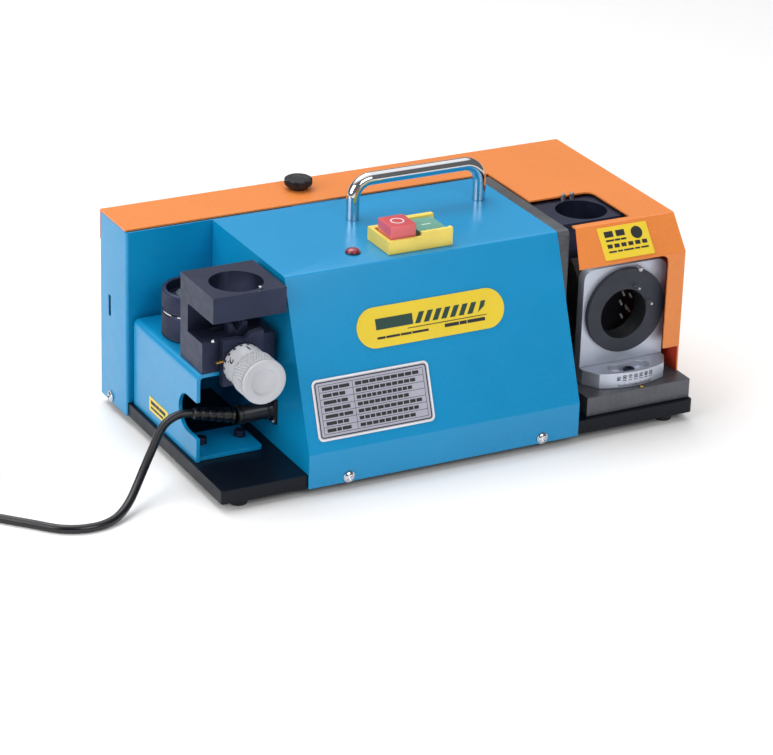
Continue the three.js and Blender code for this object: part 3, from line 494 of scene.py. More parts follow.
def flat_face(node, direction):
    """Centre and outward normal of the node's largest flat face that looks in a direction."""
    groups = {}
    for polygon in NODES[node].data.polygons:
        if polygon.normal.dot(Vector(direction)) > 0.3:
            key = tuple(round(c, 2) for c in polygon.normal)
            groups.setdefault(key, []).append(polygon)
    faces = max(groups.values(), key=lambda group: sum(p.area for p in group))
    normal = max(faces, key=lambda p: p.area).normal.copy()
    corners = [NODES[node].data.vertices[i].co for p in faces for i in p.vertices]
    low = Vector(map(min, *corners))
    high = Vector(map(max, *corners))
    return (low + high) / 2, normal


def face_place(node, direction):
    """A frame on a node's flat face: local X is level, local Y runs up the face, local Z is outwards."""
    centre, normal = flat_face(node, direction)
    level = Vector((0, 0, 1)).cross(normal)
    level = level.normalized() if level.length > 0.01 else Vector((1, 0, 0))
    up = normal.cross(level)
    return Matrix.Translation(centre) @ Matrix((level, up, normal)).transposed().to_4x4()


def slabs(name, outlines, place, thickness, material, body, lift=0.0):
    """Thin raised shapes on a face, each outline a list of (x, y) millimetres in its frame."""
    vertices, faces = [], []
    for outline in outlines:
        start, count = len(vertices), len(outline)
        for height in (lift, lift + thickness):
            vertices += [place @ Vector((x * MM, y * MM, height * MM)) for x, y in outline]
        faces.append([start + i for i in range(count)][::-1])
        faces.append([start + count + i for i in range(count)])
        for i in range(count):
            j = (i + 1) % count
            faces.append([start + i, start + j, start + count + j, start + count + i])
    return new_piece(name, vertices, faces, material, body, smooth=0)


def rect(x0, x1, y0, y1):
    return [(x0, y0), (x1, y0), (x1, y1), (x0, y1)]


def steps(start, end, count):
    return [start + (end - start) * i / count for i in range(count + 1)]


def arc(radius, start, end, count, x=0, y=0):
    """Points of an arc about (x, y)."""
    return [(x + radius * math.cos(a), y + radius * math.sin(a)) for a in steps(start, end, count)]


def rounded(half_x, half_y, radius, count=5):
    """The outline of a rectangle with rounded corners."""
    outline = []
    for i, (u, v) in enumerate(((1, 1), (-1, 1), (-1, -1), (1, -1))):
        x, y = u * (half_x - radius), v * (half_y - radius)
        outline += arc(radius, i * math.pi / 2, (i + 1) * math.pi / 2, count, x, y)
    return outline


def border(half_x, half_y, radius, width):
    """A frame with rounded corners, in short pieces laid end to end."""
    outer = rounded(half_x, half_y, radius)
    inner = rounded(half_x - width, half_y - width, radius - width)
    return [[outer[i - 1], outer[i], inner[i], inner[i - 1]] for i in range(len(outer))]


def carve(piece, cutter):
    """Cuts one mesh out of another for good and deletes the cutter."""
    boolean = piece.modifiers.new("carve", "BOOLEAN")
    boolean.operation = "DIFFERENCE"
    boolean.solver = "EXACT"
    boolean.object = cutter
    bpy.context.view_layer.update()
    evaluated = piece.evaluated_get(bpy.context.evaluated_depsgraph_get())
    mesh = bpy.data.meshes.new_from_object(evaluated)
    piece.modifiers.remove(boolean)
    piece.data = mesh
    mesh.set_sharp_from_angle(angle=math.radians(30))
    bpy.data.objects.remove(cutter)
    return piece


# ---------------------------------------------------------------- mains lead
CORD_R = 3.75
LEAD_ROUTE = [
    (-1.2, 80.1, 51.5), (-10.1, 79.6, 49.7), (-18.1, 77.5, 46.2), (-24.6, 73.9, 41.1), (-32.4, 68, 33.2),
    (-40.4, 61.8, 25.2), (-49, 54.4, 17.2), (-58, 45.8, 9.8), (-67.4, 36.6, 3.6), (-77.6, 27.6, -0.8),
    (-89, 20, -3.4), (-101.4, 15.4, -4.25), (-114, 14.4, -4.25), (-126.6, 17.3, -4.25),
    (-138.2, 23.5, -4.25), (-155.7, 41.3, -4.25), (-176.7, 62.7, -4.25), (-197.7, 84.2, -4.25),
    (-218.7, 105.6, -4.25),
]
GLAND_AXIS = (70, 46)  # y and z of the hole that the lead comes through
RELIEF_START = (43.8, 70.5, 46.3)
RELIEF_TIP = (8, 78.8, 51.2)


def spline(points, steps):
    """A centripetal Catmull-Rom line through points."""
    ends = [2 * points[0] - points[1]] + points + [2 * points[-1] - points[-2]]
    line = []
    for a, b, c, d in zip(ends, ends[1:], ends[2:], ends[3:]):
        t1 = (b - a).length ** 0.5
        t2 = t1 + (c - b).length ** 0.5
        t3 = t2 + (d - c).length ** 0.5
        for k in range(steps):
            t = t1 + (t2 - t1) * k / steps
            p = a * ((t1 - t) / t1) + b * (t / t1)
            q = b * ((t2 - t) / (t2 - t1)) + c * ((t - t1) / (t2 - t1))
            r = c * ((t3 - t) / (t3 - t2)) + d * ((t - t2) / (t3 - t2))
            u = p * ((t2 - t) / t2) + q * (t / t2)
            v = q * ((t3 - t) / (t3 - t1)) + r * ((t - t1) / (t3 - t1))
            line.append(u * ((t2 - t) / (t2 - t1)) + v * ((t - t1) / (t2 - t1)))
    line.append(points[-1])
    return line


# Each turn of the coil: (radius in units of cord radius from the coil's middle, layer).
COIL_TURNS = [(1, 0), (-1, 0), (-1, 1), (1, 1), (1, 2)]


def coil_points(centre, middle, start_angle, end_turn):
    """Turns laid side by side and layer on layer, clockwise from above."""
    points = []
    per_turn = 48
    count = round(end_turn * per_turn)
    for i in range(1, count + 1):
        turn = i / per_turn
        index = min(int(turn), len(COIL_TURNS) - 1)
        here = COIL_TURNS[index]
        back = COIL_TURNS[max(index - 1, 0)]
        ease = min(1.0, (turn - index) / 0.3)
        ease = ease * ease * (3 - 2 * ease)
        side = back[0] + (here[0] - back[0]) * ease
        layer = back[1] + (here[1] - back[1]) * ease
        angle = start_angle - 2 * math.pi * turn
        radius = middle + side * CORD_R
        points.append(Vector((
            centre.x + radius * MM * math.cos(angle),
            centre.y + radius * MM * math.sin(angle),
            FLOOR_Z + (CORD_R + layer * 2 * CORD_R) * MM,
        )))
    return points


def make_lead():
    body = BODY_OF["power_cord"]
    low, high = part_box("cord_coil")
    centre = (low + high) / 2
    plug_low, plug_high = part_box("mains_plug")
    plug_x = (plug_low.x + plug_high.x) / 2
    way = (at(*RELIEF_TIP) - at(*RELIEF_START)).normalized()
    start = at(*RELIEF_TIP) + way * 0.6 * MM
    outer = centre.x - plug_x  # radius of the turn that the plug hangs on
    middle = outer / MM - CORD_R
    # The run in touches the coil's outer turn; the lead leaves it where it points along +Y, at the plug.
    heading = (at(*LEAD_ROUTE[-1]) - at(*LEAD_ROUTE[-2])).normalized()
    enter = math.atan2(heading.x, -heading.y) % (2 * math.pi)
    turns = len(COIL_TURNS) + (enter - math.pi) / (2 * math.pi)
    touch = centre + Vector((math.cos(enter), math.sin(enter), 0)) * outer
    touch.z = FLOOR_Z + CORD_R * MM
    run_in = [at(*p) for p in LEAD_ROUTE] + [touch]
    line = spline([start] + run_in, 5)
    line += coil_points(centre, middle, enter, turns)
    tail_end = Vector((plug_x, plug_low.y + 3 * MM, line[-1].z))
    line += [line[-1].lerp(tail_end, k / 4) for k in (1, 2, 3, 4)]
    curve = bpy.data.curves.new("power_cord_line", "CURVE")
    curve.dimensions = "3D"
    curve.bevel_depth = CORD_R * MM
    curve.bevel_resolution = 5
    curve.use_fill_caps = True
    run = curve.splines.new("POLY")
    run.points.add(len(line) - 1)
    for point, place in zip(run.points, line):
        point.co = (*place, 1)
    run.use_smooth = True
    cord = add_object("power_cord_line", curve)
    curve.materials.append(MATERIALS["lead_rubber"])
    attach(cord, body)
    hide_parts("power_cord", "cord_coil")
    plug = make_plug(plug_low, plug_high)
    tie = make_tie(centre, middle)


def make_plug(low, high):
    """An earthed mains plug: a ribbed round body, a bending neck, two pins and two side clips."""
    body = BODY_OF["mains_plug"]
    x, z = (low.x + high.x) / 2, (low.z + high.z) / 2
    place = axis_place(Vector((x, low.y, z)), (0, 1, 0))
    neck = [(0, 0), (4.7, 0)]
    for i in range(6):
        grow, step = 0.28 * i, 3.4 * i
        neck += [(5.0 + grow, 1 + step), (5.0 + grow, 3 + step)]
        neck += [(4.2 + grow, 3.4 + step), (4.2 + grow, 4.2 + step)]
    shell = neck + [
        (7.4, 22.5), (9.2, 25), (12.6, 30), (15.6, 34.6), (17.6, 38), (18.4, 40), (18.5, 46), (18.5, 61.4),
        (17.9, 63), (15.8, 63), (15.6, 61.2), (0, 61.2),
    ]
    grip = straight_knurl(26, 0.9, 41, 58)
    rows = []
    for a, b in zip(shell, shell[1:]):
        rows.append(a)
        if 40 <= a[1] < 61 and b[1] - a[1] > 2:
            rows += [(18.5, a[1] + (b[1] - a[1]) * k / 6) for k in range(1, 6)]
    rows.append(shell[-1])
    plug = turned("plug_body", rows, 104, place, "black_plastic", body, grip)
    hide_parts("mains_plug")
    pieces = [plug]
    for side, hand, level in ((-1, "left", "bottom"), (1, "right", "top")):
        pin = turned(
            f"plug_pin_{hand}",
            [(0, 60.5), (2.4, 60.5), (2.4, 80.4), (1.9, 81.4), (0.9, 82), (0, 82)],
            24, axis_place(Vector((x + side * 9.5 * MM, low.y, z)), (0, 1, 0)), "bright_metal", body,
        )
        clip = slabs(
            f"plug_clip_{level}", [rect(-2, 2, 47, 60.8)],
            Matrix.Translation(Vector((x, low.y, z + side * 17.75 * MM))), 0.6, "bright_metal", body, -0.3,
        )
        pieces += [pin, soften(clip, 0.2)]
    return pieces


def make_tie(centre, middle):
    """A strap round all the turns of the coil, on the side away from the plug."""
    body = BODY_OF["cord_coil"]
    half, height = 2 * CORD_R + 0.1, 6 * CORD_R
    place = Matrix.Translation(Vector((centre.x + middle * MM, centre.y, FLOOR_Z)))
    vertices, faces = [], []
    outline = [
        (-half, 2), (-half + 2, 0.05), (half - 2, 0.05), (half, 2),
        (half, height - 2), (half - 2, height), (-half + 2, height), (-half, height - 2),
    ]
    for y in (-4.5, 4.5):
        for grow in (0.0, 0.9):
            for u, v in outline:
                w = v + grow * (v - height / 2) / (height / 2)
                vertices.append(place @ Vector(((u + grow * u / half) * MM, y * MM, max(w, 0.02) * MM)))
    n = len(outline)
    for i in range(n):
        j = (i + 1) % n
        faces.append([i, j, n + j, n + i])
        faces.append([2 * n + i, 2 * n + j, 3 * n + j, 3 * n + i])
        faces.append([n + i, n + j, 3 * n + j, 3 * n + i])
        faces.append([i, j, 2 * n + j, 2 * n + i])
    return new_piece("coil_tie", vertices, faces, "black_plastic", body)


def make_relief():
    """Gland plate, threaded nut and the ribbed sleeve that the lead leaves through."""
    body = BODY_OF["cable_gland"]
    refined("cable_gland", 0.6)
    y, z = GLAND_AXIS
    for i, x in enumerate((47.2, 51.4, 74.6)):
        turned(
            f"gland_ring_{i}", [(7.9, 0), (8.9, 0.3), (8.9, 1.7), (7.9, 2), (7.9, 0)], 48,
            axis_place(at(x, y, z), (-1, 0, 0)), "black_plastic", body,
        )
    for i, (dy, dz) in enumerate(((-7.2, -8.6), (7.2, 8.6))):
        seat = at(77.8, y + dy, z + dz)
        head = turned(
            f"gland_screw_{i}", [(0, 0), (2.2, 0), (2.1, 0.9), (1.2, 1.5), (0, 1.6)], 24,
            axis_place(seat, (-1, 0, 0)), "bright_metal", body,
        )
        cut_cross(head, axis_place(seat, (-1, 0, 0), 0.4), 1.4, 0.35, 0.9, 2)
    start, tip = at(*RELIEF_START), at(*RELIEF_TIP)
    length = (tip - start).length / MM
    profile = [(0, 0), (6.9, 0), (6.9, 2.4)]
    ribs = 5
    pitch = (length - 4) / ribs
    for i in range(ribs):
        r = 6.7 - 1.6 * i / ribs
        base = 2.6 + pitch * i
        profile += [
            (r - 1.1, base), (r - 1.1, base + 1.5), (r - 0.2, base + 1.6), (r, base + 2.2),
            (r - 0.1, base + pitch - 0.5), (r - 0.4, base + pitch - 0.05),
        ]
    profile += [(4.3, length - 1), (4.1, length), (0, length)]
    sleeve = turned("strain_relief_ribs", profile, 40, axis_place(start, tip - start), "lead_rubber", body)
    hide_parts("strain_relief")


BRICK = (
    (3, 2, 1, 0), (4, 5, 6, 7), (0, 1, 5, 4), (1, 2, 6, 5), (2, 3, 7, 6), (3, 0, 4, 7),
)


def cut_cross(piece, place, reach, half, low, high):
    """Cuts two crossed bars out of a piece, one after the other."""
    for x, y in ((reach, half), (half, reach)):
        corners = []
        for h in (low, high):
            corners += [place @ (Vector((u, v, h)) * MM) for u, v in rect(-x, x, -y, y)]
        mesh = bpy.data.meshes.new("cutter")
        mesh.from_pydata([tuple(v) for v in corners], [], BRICK)
        cutter = add_object("cutter", mesh)
        carve(piece, cutter)


# ---------------------------------------------------------------- base and drive
def make_base():
    refined("base_tray", 1.3, 3)
    for end in ("front", "rear"):
        for side in ("left", "right"):
            refined(f"rubber_foot_{end}_{side}", 0.8, 3)
    refined("slide_plate", 0.7, material="plate_steel")
    refined("frame_plate", 0.6)


def make_drive():
    for node in ("motor_body", "motor_end_cap", "capacitor"):
        refined(node, 0.8)
    for node in ("spindle", "spindle_bearing", "wheel_flange", "wheel_nut", "cooling_fan"):
        refined(node, 0.4)
    refined("grinding_wheel", 0.5)


# ---------------------------------------------------------------- case
def make_case():
    refined("front_cover", 0.35)
    refined("rear_housing", 0.35)
    make_hood()
    make_handle()
    make_thumbscrew()
    for node, way in (
        ("skirt_screw_left", (0, -1, 0)), ("skirt_screw_right", (0, -1, 0)), ("panel_screw", (-1, 0, 0)),
    ):
        make_case_screw(node, Vector(way))


def make_hood():
    """The hood's walls take a deeper red inside: painted shade on the inner faces."""
    hood = refined("top_hood", 0.35)
    # painted shade: the inner faces get the deeper red
    hood.data.materials.append(MATERIALS["orange_painted_shade"])
    near, far = at(455, 245, 170), at(0, 60, 0)
    for face in hood.data.polygons:
        spot, way = face.center, face.normal
        walls = (
            way.x < -0.9 and spot.x > near.x,
            way.y < -0.9 and spot.y > near.y,
            way.z < -0.9 and spot.z > near.z,
            way.y > 0.3 and spot.y < far.y,
        )
        face.material_index = int(any(walls))


def make_handle():
    low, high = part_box("carry_handle")
    radius = (high.y - low.y) / 2
    y = (low.y + high.y) / 2
    left, right, top = low.x + radius, high.x - radius, high.z - radius
    bend = 17 * MM
    points = [Vector((left, y, low.z)), Vector((left, y, (low.z + top - bend) / 2))]
    for corner, start in ((left + bend, math.pi), (right - bend, math.pi / 2)):
        for k in range(15):
            angle = start - math.pi / 2 * k / 14
            points.append(Vector((corner + bend * math.cos(angle), y, top - bend + bend * math.sin(angle))))
    points += [Vector((right, y, (low.z + top - bend) / 2)), Vector((right, y, low.z))]
    bar = tube("carry_handle_bar", points, radius / MM, 48, "bright_metal", BODY_OF["carry_handle"])
    stands_for(bar, "carry_handle")


def make_thumbscrew():
    place, top = upright("hood_thumbscrew")
    head = top - 10.2
    profile = [
        (0, 0), (2.9, 0), (2.9, head), (8.6, head), (9.6, head + 1.2), (10.4, head + 2.6), (12.0, head + 3.6),
        *band(12.8, head + 4.4, top - 1.6, 0.6), (12.3, top - 0.7), (11.2, top - 0.1), (7.5, top),
        (7, top - 0.6), (0, top - 0.6),
    ]
    knob = turned(
        "hood_thumbscrew_knob", profile, 200, place, "black_plastic", BODY_OF["hood_thumbscrew"],
        straight_knurl(40, 0.9, head + 3.5, top - 0.5),
    )
    stands_for(knob, "hood_thumbscrew")


def make_case_screw(node, way):
    low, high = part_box(node)
    centre = (low + high) / 2
    reach = abs((high - low).dot(way)) / MM
    head = centre + way * (reach / 2 - 3) * MM
    place = axis_place(head, way)
    profile = [
        (0, 3 - reach), (2, 3 - reach), (2, 0.35), (5.3, 0.35), (5.3, 1.0), (4.6, 1.3), (4.5, 1.8),
        (3.4, 2.6), (2, 3), (0, 3),
    ]
    screw = turned(node + "_head", profile, 40, place, "bright_metal", BODY_OF[node])
    cut_cross(screw, place @ Matrix.Rotation(0.5, 4, "Z"), 3, 0.55, 1.2, 4)
    stands_for(screw, node)


# ---------------------------------------------------------------- plates
def pseudo_lines(x0, x1, y, height, breaks, gap=0.7):
    """A row of plain bars that stands for a line of small print."""
    bars, x = [], x0
    total = sum(breaks)
    room = x1 - x0 - gap * (len(breaks) - 1)
    for share in breaks:
        end = x + room * share / total
        bars.append(rect(x, end, y, y + height))
        x = end + gap
    return bars


def make_plates():
    for node in ("oval_plate", "data_plate", "caution_plate"):
        refined(node, 0.25)
    make_oval_print()
    make_data_print()
    make_caution_print()
    make_side_label()


def make_oval_print():
    """A plain twist drill pictogram with a rule under it."""
    place = face_place("oval_plate", (0, -1, 0.3))
    body = BODY_OF["oval_plate"]
    low, high = -2.2, 7.4
    slabs("oval_drill_shank", [rect(-54, -18, low, high)], place, 0.1, "green_ink", body)
    flutes = []
    for i in range(7):
        x = -16.4 + 8.6 * i
        flutes.append([(x, low), (x + 5.2, low), (x + 10.6, high), (x + 5.4, high)])
    slabs("oval_drill_flutes", flutes, place, 0.1, "green_ink", body)
    point = [(46, low), (52.6, low + 4.8), (54.6, high), (50, high)]
    slabs("oval_drill_point", [point], place, 0.1, "green_ink", body)
    bars = [rect(-24, 54, -5.4, -4.7)]
    bars += pseudo_lines(-54, -4, -10.4, 2, [3, 5, 4, 6])
    bars += pseudo_lines(12, 52, -10, 3, [4, 2, 5])
    slabs("oval_lines", bars, place, 0.1, "ink", body)


def make_data_print():
    """A ruled table of small print inside a black line, with a pale rim round the plate."""
    place = face_place("data_plate", (0, -1, 0.3))
    body = BODY_OF["data_plate"]
    slabs("data_rim", border(56.2, 26.5, 4.7, 1.5), place, 0.08, "white_ink", body)
    slabs("data_border", border(53.8, 24.1, 2.8, 1.0), place, 0.1, "ink", body)
    rows = 7
    inner_x, inner_y = 50.2, 21.0
    step = 2 * inner_y / rows
    levels = [inner_y - step * i for i in range(rows + 1)]
    rules = [rect(-inner_x, inner_x, y - 0.2, y + 0.2) for y in levels]
    rules += [rect(x - 0.2, x + 0.2, -inner_y, inner_y) for x in (-inner_x, -18, inner_x)]
    slabs("data_rules", rules, place, 0.1, "ink", body)
    bars = []
    for i in range(rows):
        y = inner_y - step * (i + 1) + step * 0.24
        words = [1 + (i * 5 + k * 3) % 3 for k in range(9 + i % 3)]
        label_end = -21 - 1.6 * ((i * 3) % 4)
        bars += pseudo_lines(-inner_x + 3, label_end, y, step * 0.5, [2 + i % 3, 1 + i % 2, 2], 0.8)
        bars += pseudo_lines(-15.5, 46 - 4 * ((i * 5) % 4), y, step * 0.5, words, 0.8)
    slabs("data_lines", bars, place, 0.1, "ink", body)


def make_caution_print():
    place = face_place("caution_plate", (0, -1, 1))
    body = BODY_OF["caution_plate"]
    bars = pseudo_lines(-20, 1, 5.6, 5.6, [1, 1], 3)
    bars += pseudo_lines(-20, 1, 1.6, 1.8, [3, 2, 2])
    bars += pseudo_lines(-20, 21, -4.6, 3.6, [2, 2, 2, 2, 2, 2], 2)
    bars += pseudo_lines(-20, 21, -8.8, 1.6, [3, 2, 4, 2, 3], 1.2)
    slabs("hood_plate_lines", bars, place, 0.1, "ink", body)
    disc = arc(5.8, 0, 2 * math.pi * 35 / 36, 35, 13, 6.4)
    slabs("hood_plate_disc", [disc], place, 0.1, "ink", body)


def make_side_label():
    """The small yellow plate low on the support bracket's side."""
    body = BODY_OF["support_bracket"]
    centre = at(0, 139, 28.8)
    centre.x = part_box("support_bracket")[0].x
    place = Matrix.Translation(centre) @ Matrix(((0, 0, -1), (-1, 0, 0), (0, 1, 0))).to_4x4()
    label = slabs("side_label", [rect(-20, 20, -6.7, 6.7)], place, 0.4, "yellow_label", body, 0.02)
    soften(label, 0.15)
    bars = pseudo_lines(-16, 15, 0.6, 3.4, [3, 2, 4])
    bars += pseudo_lines(-16, 10, -4, 2.2, [2, 4, 3])
    slabs("side_label_lines", bars, place, 0.1, "ink", body, 0.4)


# ---------------------------------------------------------------- controls
def make_controls():
    refined("switch_housing", 0.5)
    refined("stop_button", 0.9, 3)
    refined("start_button", 0.5)
    make_button_marks()
    make_lamp()


def arc_outline(radius, width, start, end, count):
    return arc(radius, start, end, count) + arc(radius - width, end, start, count)


def make_button_marks():
    place = face_place("stop_button", (0, 0, 1))
    halves = [arc_outline(6.2, 1.1, a, a + math.pi, 18) for a in (0, math.pi)]
    slabs("stop_mark", halves, place, 0.12, "white_ink", BODY_OF["stop_button"], -0.02)
    place = face_place("start_button", (0, 0, 1))
    mark = [rect(-4.4, 4.4, -0.6, 0.6)]
    slabs("start_mark", mark, place, 0.12, "white_ink", BODY_OF["start_button"], -0.02)


def make_lamp():
    refined("lamp_bezel", 0.3)
    low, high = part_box("lamp_lens")
    place, tall = upright("lamp_lens")
    radius = (high.x - low.x) / 2 / MM
    rise = 3.3
    seat = tall - rise
    dome = [(radius * math.cos(a), seat + rise * math.sin(a)) for a in steps(0, math.pi / 2, 12)]
    dome[-1] = (0, tall)
    profile = [(0, 0), (2.9, 0), (2.9, seat), *dome]
    lens = turned("lamp_lens_dome", profile, 40, place, "lamp_red", BODY_OF["lamp_lens"])
    stands_for(lens, "lamp_lens")


# ---------------------------------------------------------------- gauge station
def make_gauge():
    refined("support_bracket", 0.7, 3)
    for node, width in (
        ("bracket_screw_left", 0.25), ("bracket_screw_right", 0.25), ("gauge_block", 0.45),
        ("gauge_slide", 0.3), ("gauge_front_plate", 0.35), ("locating_pin", 0.2), ("gauge_pointer", 0.2),
        ("gauge_screw", 0.3),
    ):
        refined(node, width)
    make_knob()
    make_dial()
    turned(
        "gauge_stop_ball", [(0, 0), (1.9, 0), (1.9, 0.5), (1.6, 1.3), (0.9, 1.9), (0, 2.1)], 24,
        axis_place(at(18.6, 60.2, 123.5), (0, 0, 1)), "bright_metal", BODY_OF["gauge_block"],
    )


def ridged_grip(teeth, depth, low, high, pitch, groove):
    """Bands of teeth with a round groove between each band and the next."""

    def change(angle, height):
        if not low < height < high:
            return 0
        across = abs(math.sin(math.pi * (height - low) / pitch)) ** 0.5
        tooth = abs(math.sin(teeth * angle / 2 + 0.9 * math.floor((height - low) / pitch)))
        return -groove * (1 - across) - depth * (1 - tooth) * across

    return change


def make_knob():
    place, long, _ = facing_front("gauge_knob")
    low_grip, bands, pitch = 1.6, 5, 3.5
    grip = (low_grip, low_grip + bands * pitch)
    profile = [
        (4.4, 0), (18.2, 0), (19.0, 0.5), (19.4, 1.2), *band(20.2, *grip, 0.3),
        (19.3, grip[1] + 0.1), (19.3, grip[1] + 0.6), (20.1, grip[1] + 1.1), (20.2, long - 1.3),
        (19.6, long - 0.4), (18.9, long), (12.4, long), (11.8, long - 0.3), (11.2, long - 1.5),
        (10.6, long - 1.8), (0, long - 1.8), (0, long - 4), (4.4, long - 4), (4.4, 0),
    ]
    knob = turned(
        "gauge_knob_grip", profile, 480, place, "dial_white", BODY_OF["gauge_knob"],
        ridged_grip(46, 1.3, *grip, pitch, 1.6), smooth=50,
    )
    stands_for(knob, "gauge_knob")


def ring_marks(name, radius, marks, place, body):
    """Short raised lines on a cylinder about local Z, each given as (angle, half width, low, high)."""
    vertices, faces = [], []
    for angle, half, low, high in marks:
        start = len(vertices)
        for r in (radius - 0.1, radius + 0.1):
            for a, h in rect(angle - half, angle + half, low, high):
                vertices.append(place @ (Vector((r * math.cos(a), r * math.sin(a), h)) * MM))
        faces += [[start + k for k in face] for face in BRICK]
    return new_piece(name, vertices, faces, "ink", body, smooth=0)


def make_dial():
    """The graduated sleeve behind the knob: bold lines at its rear edge and a number at every sixth."""
    place, long, radius = facing_front("gauge_dial")
    body = BODY_OF["gauge_dial"]
    profile = [
        (4.4, 0), (radius - 0.8, 0), (radius, 0.8), (radius, long - 0.5), (radius - 0.5, long), (4.4, long),
        (4.4, 0),
    ]
    sleeve = turned("gauge_dial_sleeve", profile, 120, place, "dial_white", body)
    stands_for(sleeve, "gauge_dial")
    lines = 18
    marks = [(2 * math.pi * i / lines, 0.065, 1.2, 3.8) for i in range(lines)]
    ring_marks("gauge_dial_lines", radius, marks, place, body)
    numbers = 6
    for i in range(numbers):
        angle = 2 * math.pi * (i + 0.5) / numbers
        number = wrapped_text(f"gauge_dial_number_{i}", str(i), 10, radius, angle, 6.6, place, body)


def text_mesh(text, size, extrude=0.1):
    data = bpy.data.curves.new("number", "FONT")
    data.body = text
    data.size = size * MM
    data.align_x = "CENTER"
    data.extrude = extrude * MM
    data.resolution_u = 3
    data.offset = 0.03 * size * MM
    item = add_object("number", data)
    bpy.context.view_layer.update()
    mesh = bpy.data.meshes.new_from_object(item.evaluated_get(bpy.context.evaluated_depsgraph_get()))
    bpy.data.objects.remove(item)
    return mesh


def wrapped_text(name, text, size, radius, angle, height, place, body):
    """Digits that lie on a cylinder and read along its axis's side."""
    mesh = text_mesh(text, size)
    for vertex in mesh.vertices:
        u, v, w = vertex.co / MM
        a = angle + u / radius
        r = radius + w
        vertex.co = place @ (Vector((r * math.cos(a), r * math.sin(a), height + v)) * MM)
    return settle(name, mesh, "ink", body, 0)


# ---------------------------------------------------------------- stored chuck
def make_chuck():
    place, tall = upright("chuck_body")
    seat = 36  # height of the collar's underside above the barrel's end
    grip = (seat + 1.8, seat + 21.2)
    profile = [
        (15, 0), (19.4, 0), (20, 0.6), (23.2, 3), (23.2, seat), (26.9, seat), (27.9, seat + 1.2),
        *band(28, *grip, 0.5), (27.9, seat + 22), (27, seat + 23.2), (21, seat + 23.2), (21, tall - 0.8),
        (20.4, tall), (16, tall), (15, seat + 20), (15, 0),
    ]
    knurl = diamond_knurl(96, 0.55, *grip, 2.0)
    stands_for(turned("chuck_body_knurled", profile, 384, place, "black_oxide", "chuck", knurl), "chuck_body")
    ring = rect(21.4, 27.3, seat + 23.3, seat + 24.3)
    turned("chuck_split_ring", [*ring, ring[0]], 96, place, "bright_metal", "chuck")
    place, tall = upright("chuck_nut")
    grip = (1.8, tall - 1.6)
    profile = [
        (21.3, 0), (26.8, 0), (27.9, 1.1), *band(28, *grip, 0.5), (27.9, tall - 1), (27.2, tall - 0.2),
        (26.8, tall), (24.4, tall), (23.8, tall - 0.6), (23.8, 10.4), (21.3, 10.4), (21.3, 0),
    ]
    knurl = diamond_knurl(96, 0.55, *grip, 2.0)
    nut = turned("chuck_nut_knurled", profile, 384, place, "black_oxide", "chuck_ring", knurl)
    stands_for(nut, "chuck_nut")
    make_collet()


def make_collet():
    place, tall = upright("chuck_collet")
    profile = [
        (5, 0), (14.1, 0), (14.5, 0.4), (14.5, 40), (15.4, tall - 3.5), (15.4, tall - 0.5), (14.9, tall),
        (5.6, tall), (5, tall - 0.6), (5, 0),
    ]
    collet = turned("chuck_collet_slit", profile, 72, place, "ground_steel", "chuck")
    for k in range(3):
        cut_cross(collet, place @ Matrix.Rotation(k * math.pi / 6, 4, "Z"), 16, 0.35, tall - 22, tall + 1)
    stands_for(collet, "chuck_collet")


# ---------------------------------------------------------------- grinding ports
PORT_AXIS = (411.2, 93.6)  # x and z of the point grinding port
PORT_BORE = 23.5
SWING_PIVOT = (414.3, 95)
FOOT_RADIUS = 84  # the bracket foot's curved front edge, about the pivot
FOOT_LOW = 32.4  # where the scale's lines start
NUMBER_LEVEL = 40.2
SCALE_HALF = 0.2  # radians from the scale's middle to either end


def make_ports():
    refined("thinning_block", 0.6)
    for node in ("thinning_pin_left", "thinning_pin_right", "port_pin_upper", "port_pin_lower"):
        refined(node, 0.2, material="pin_steel")
    refined("angle_bracket", 0.4)
    make_port_ring()
    refined("clamp_screw", 0.25)
    refined("angle_pointer", 0.15)
    body = BODY_OF["angle_bracket"]
    low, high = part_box("angle_bracket")
    seam = Matrix.Translation(Vector(((low.x + high.x) / 2, at(0, 38, 0).y, at(0, 0, 45.6).z)))
    slabs("bracket_joint", [rect(-43.2, 43.2, -0.45, 0)], seam, 0.14, "ink", body, -0.04)
    turned(
        "index_pin", [(0, 0), (2.3, 0), (2.3, 6.6), (1.7, 7.3), (0, 7.5)], 28,
        axis_place(at(425.6, 38, 134.9), (0, -1, 0)), "pin_steel", body,
    )
    make_angle_scale(body)
    # painted shade and glints: a black sheet and pale pins behind the bore
    make_dust_guard()


def make_port_ring():
    """The ring is slate grey outside; its bore's wall is painted black as painted shade."""
    ring = refined("port_ring", 0.5, material="ring_oxide")
    # painted shade: the bore's wall takes black ink
    ring.data.materials.append(MATERIALS["ink"])
    bore = at(PORT_AXIS[0], 0, PORT_AXIS[1])
    for face in ring.data.polygons:
        spot = face.center
        out = math.hypot(spot.x - bore.x, spot.z - bore.z)
        face.material_index = int(out < (PORT_BORE + 0.1) * MM and abs(face.normal.y) < 0.5)


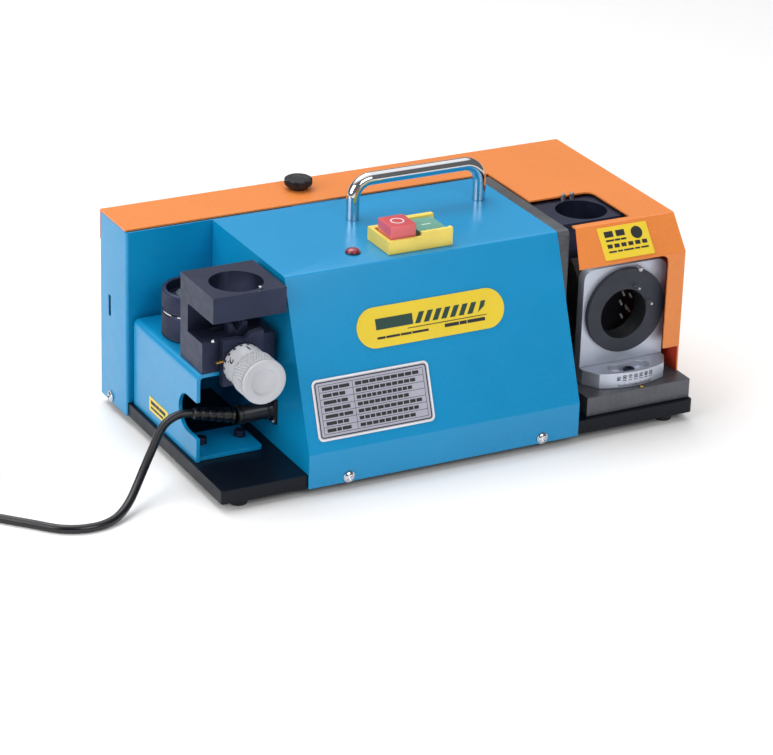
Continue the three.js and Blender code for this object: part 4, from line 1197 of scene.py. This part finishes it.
def make_angle_scale(body):
    """Lines and numbers of degrees round the bracket foot's curved front edge."""
    pivot = at(*SWING_PIVOT, 0)
    marks = [
        (angle, 0.0022, FOOT_LOW, FOOT_LOW + (2.9 if i % 6 == 0 else 1.9))
        for i, angle in enumerate(steps(-SCALE_HALF, SCALE_HALF, 36))
    ]
    place = Matrix.Translation(pivot) @ Matrix.Rotation(-math.pi / 2, 4, "Z")
    ring_marks("angle_scale_lines", FOOT_RADIUS, marks, place, body)
    for i, number in enumerate(("90", "100", "110", "120", "130", "140", "150")):
        mesh = text_mesh(number, 5)
        for vertex in mesh.vertices:
            u, v, w = vertex.co / MM
            angle = -SCALE_HALF + 2 * SCALE_HALF * i / 6 - (v - 1.8) / FOOT_RADIUS
            way = Vector((math.sin(angle), -math.cos(angle), 0))
            vertex.co = pivot + (way * (FOOT_RADIUS + w) + Vector((0, 0, NUMBER_LEVEL + u * 0.82))) * MM
        settle(f"angle_scale_number_{i}", mesh, "ink", body, smooth=0)


def make_dust_guard():
    """A black sheet behind the ring, guessed as a dust guard, that stands for painted shade in the bore; its
    pale pins are painted glints.
    """
    body = BODY_OF["slide_plate"]
    low, high = at(412.6, 76, 31.1), at(462, 77.5, 136)
    place = Matrix.Translation(Vector((0, low.y, 0))) @ Matrix.Rotation(math.pi / 2, 4, "X")
    chamfer = 8 * MM
    outline = [
        (low.x, low.z), (high.x, low.z), (high.x, high.z - chamfer), (high.x - chamfer, high.z),
        (low.x, high.z),
    ]
    # the sheet is painted shade that blacks out the view through the bore; it is guessed as a dust guard
    sheet = slabs("painted_shade_guard", [[(x / MM, z / MM) for x, z in outline]], place, 1.5, "black_plastic", body)
    soften(sheet, 0.3)
    # pale pins where glints show in the bore: painted highlights
    pins = ((433, 87), (439.5, 81), (435.4, 95.6), (443, 92.6), (442, 78.4), (434.6, 73.4))
    for i, (x, z) in enumerate(pins):
        turned(
            f"painted_glint_pin_{i}", [(0, 0), (1.1, 0), (1.1, 4.6), (0.8, 5), (0, 5)], 16,
            axis_place(at(x, 75, z), (0.1, -1, -0.9)), "painted_glint_white", body,
        )


def dress_hidden():
    """Every CAD node that still shows takes its slot's material."""
    for name, node in NODES.items():
        node.data.materials.clear()
        node.data.materials.append(MATERIALS[SLOT_OF[name]])


MATERIALS = make_materials()
make_camera()
make_studio()
make_lead()
make_relief()
make_base()
make_drive()
make_case()
make_plates()
make_controls()
make_gauge()
make_chuck()
make_ports()
dress_hidden()
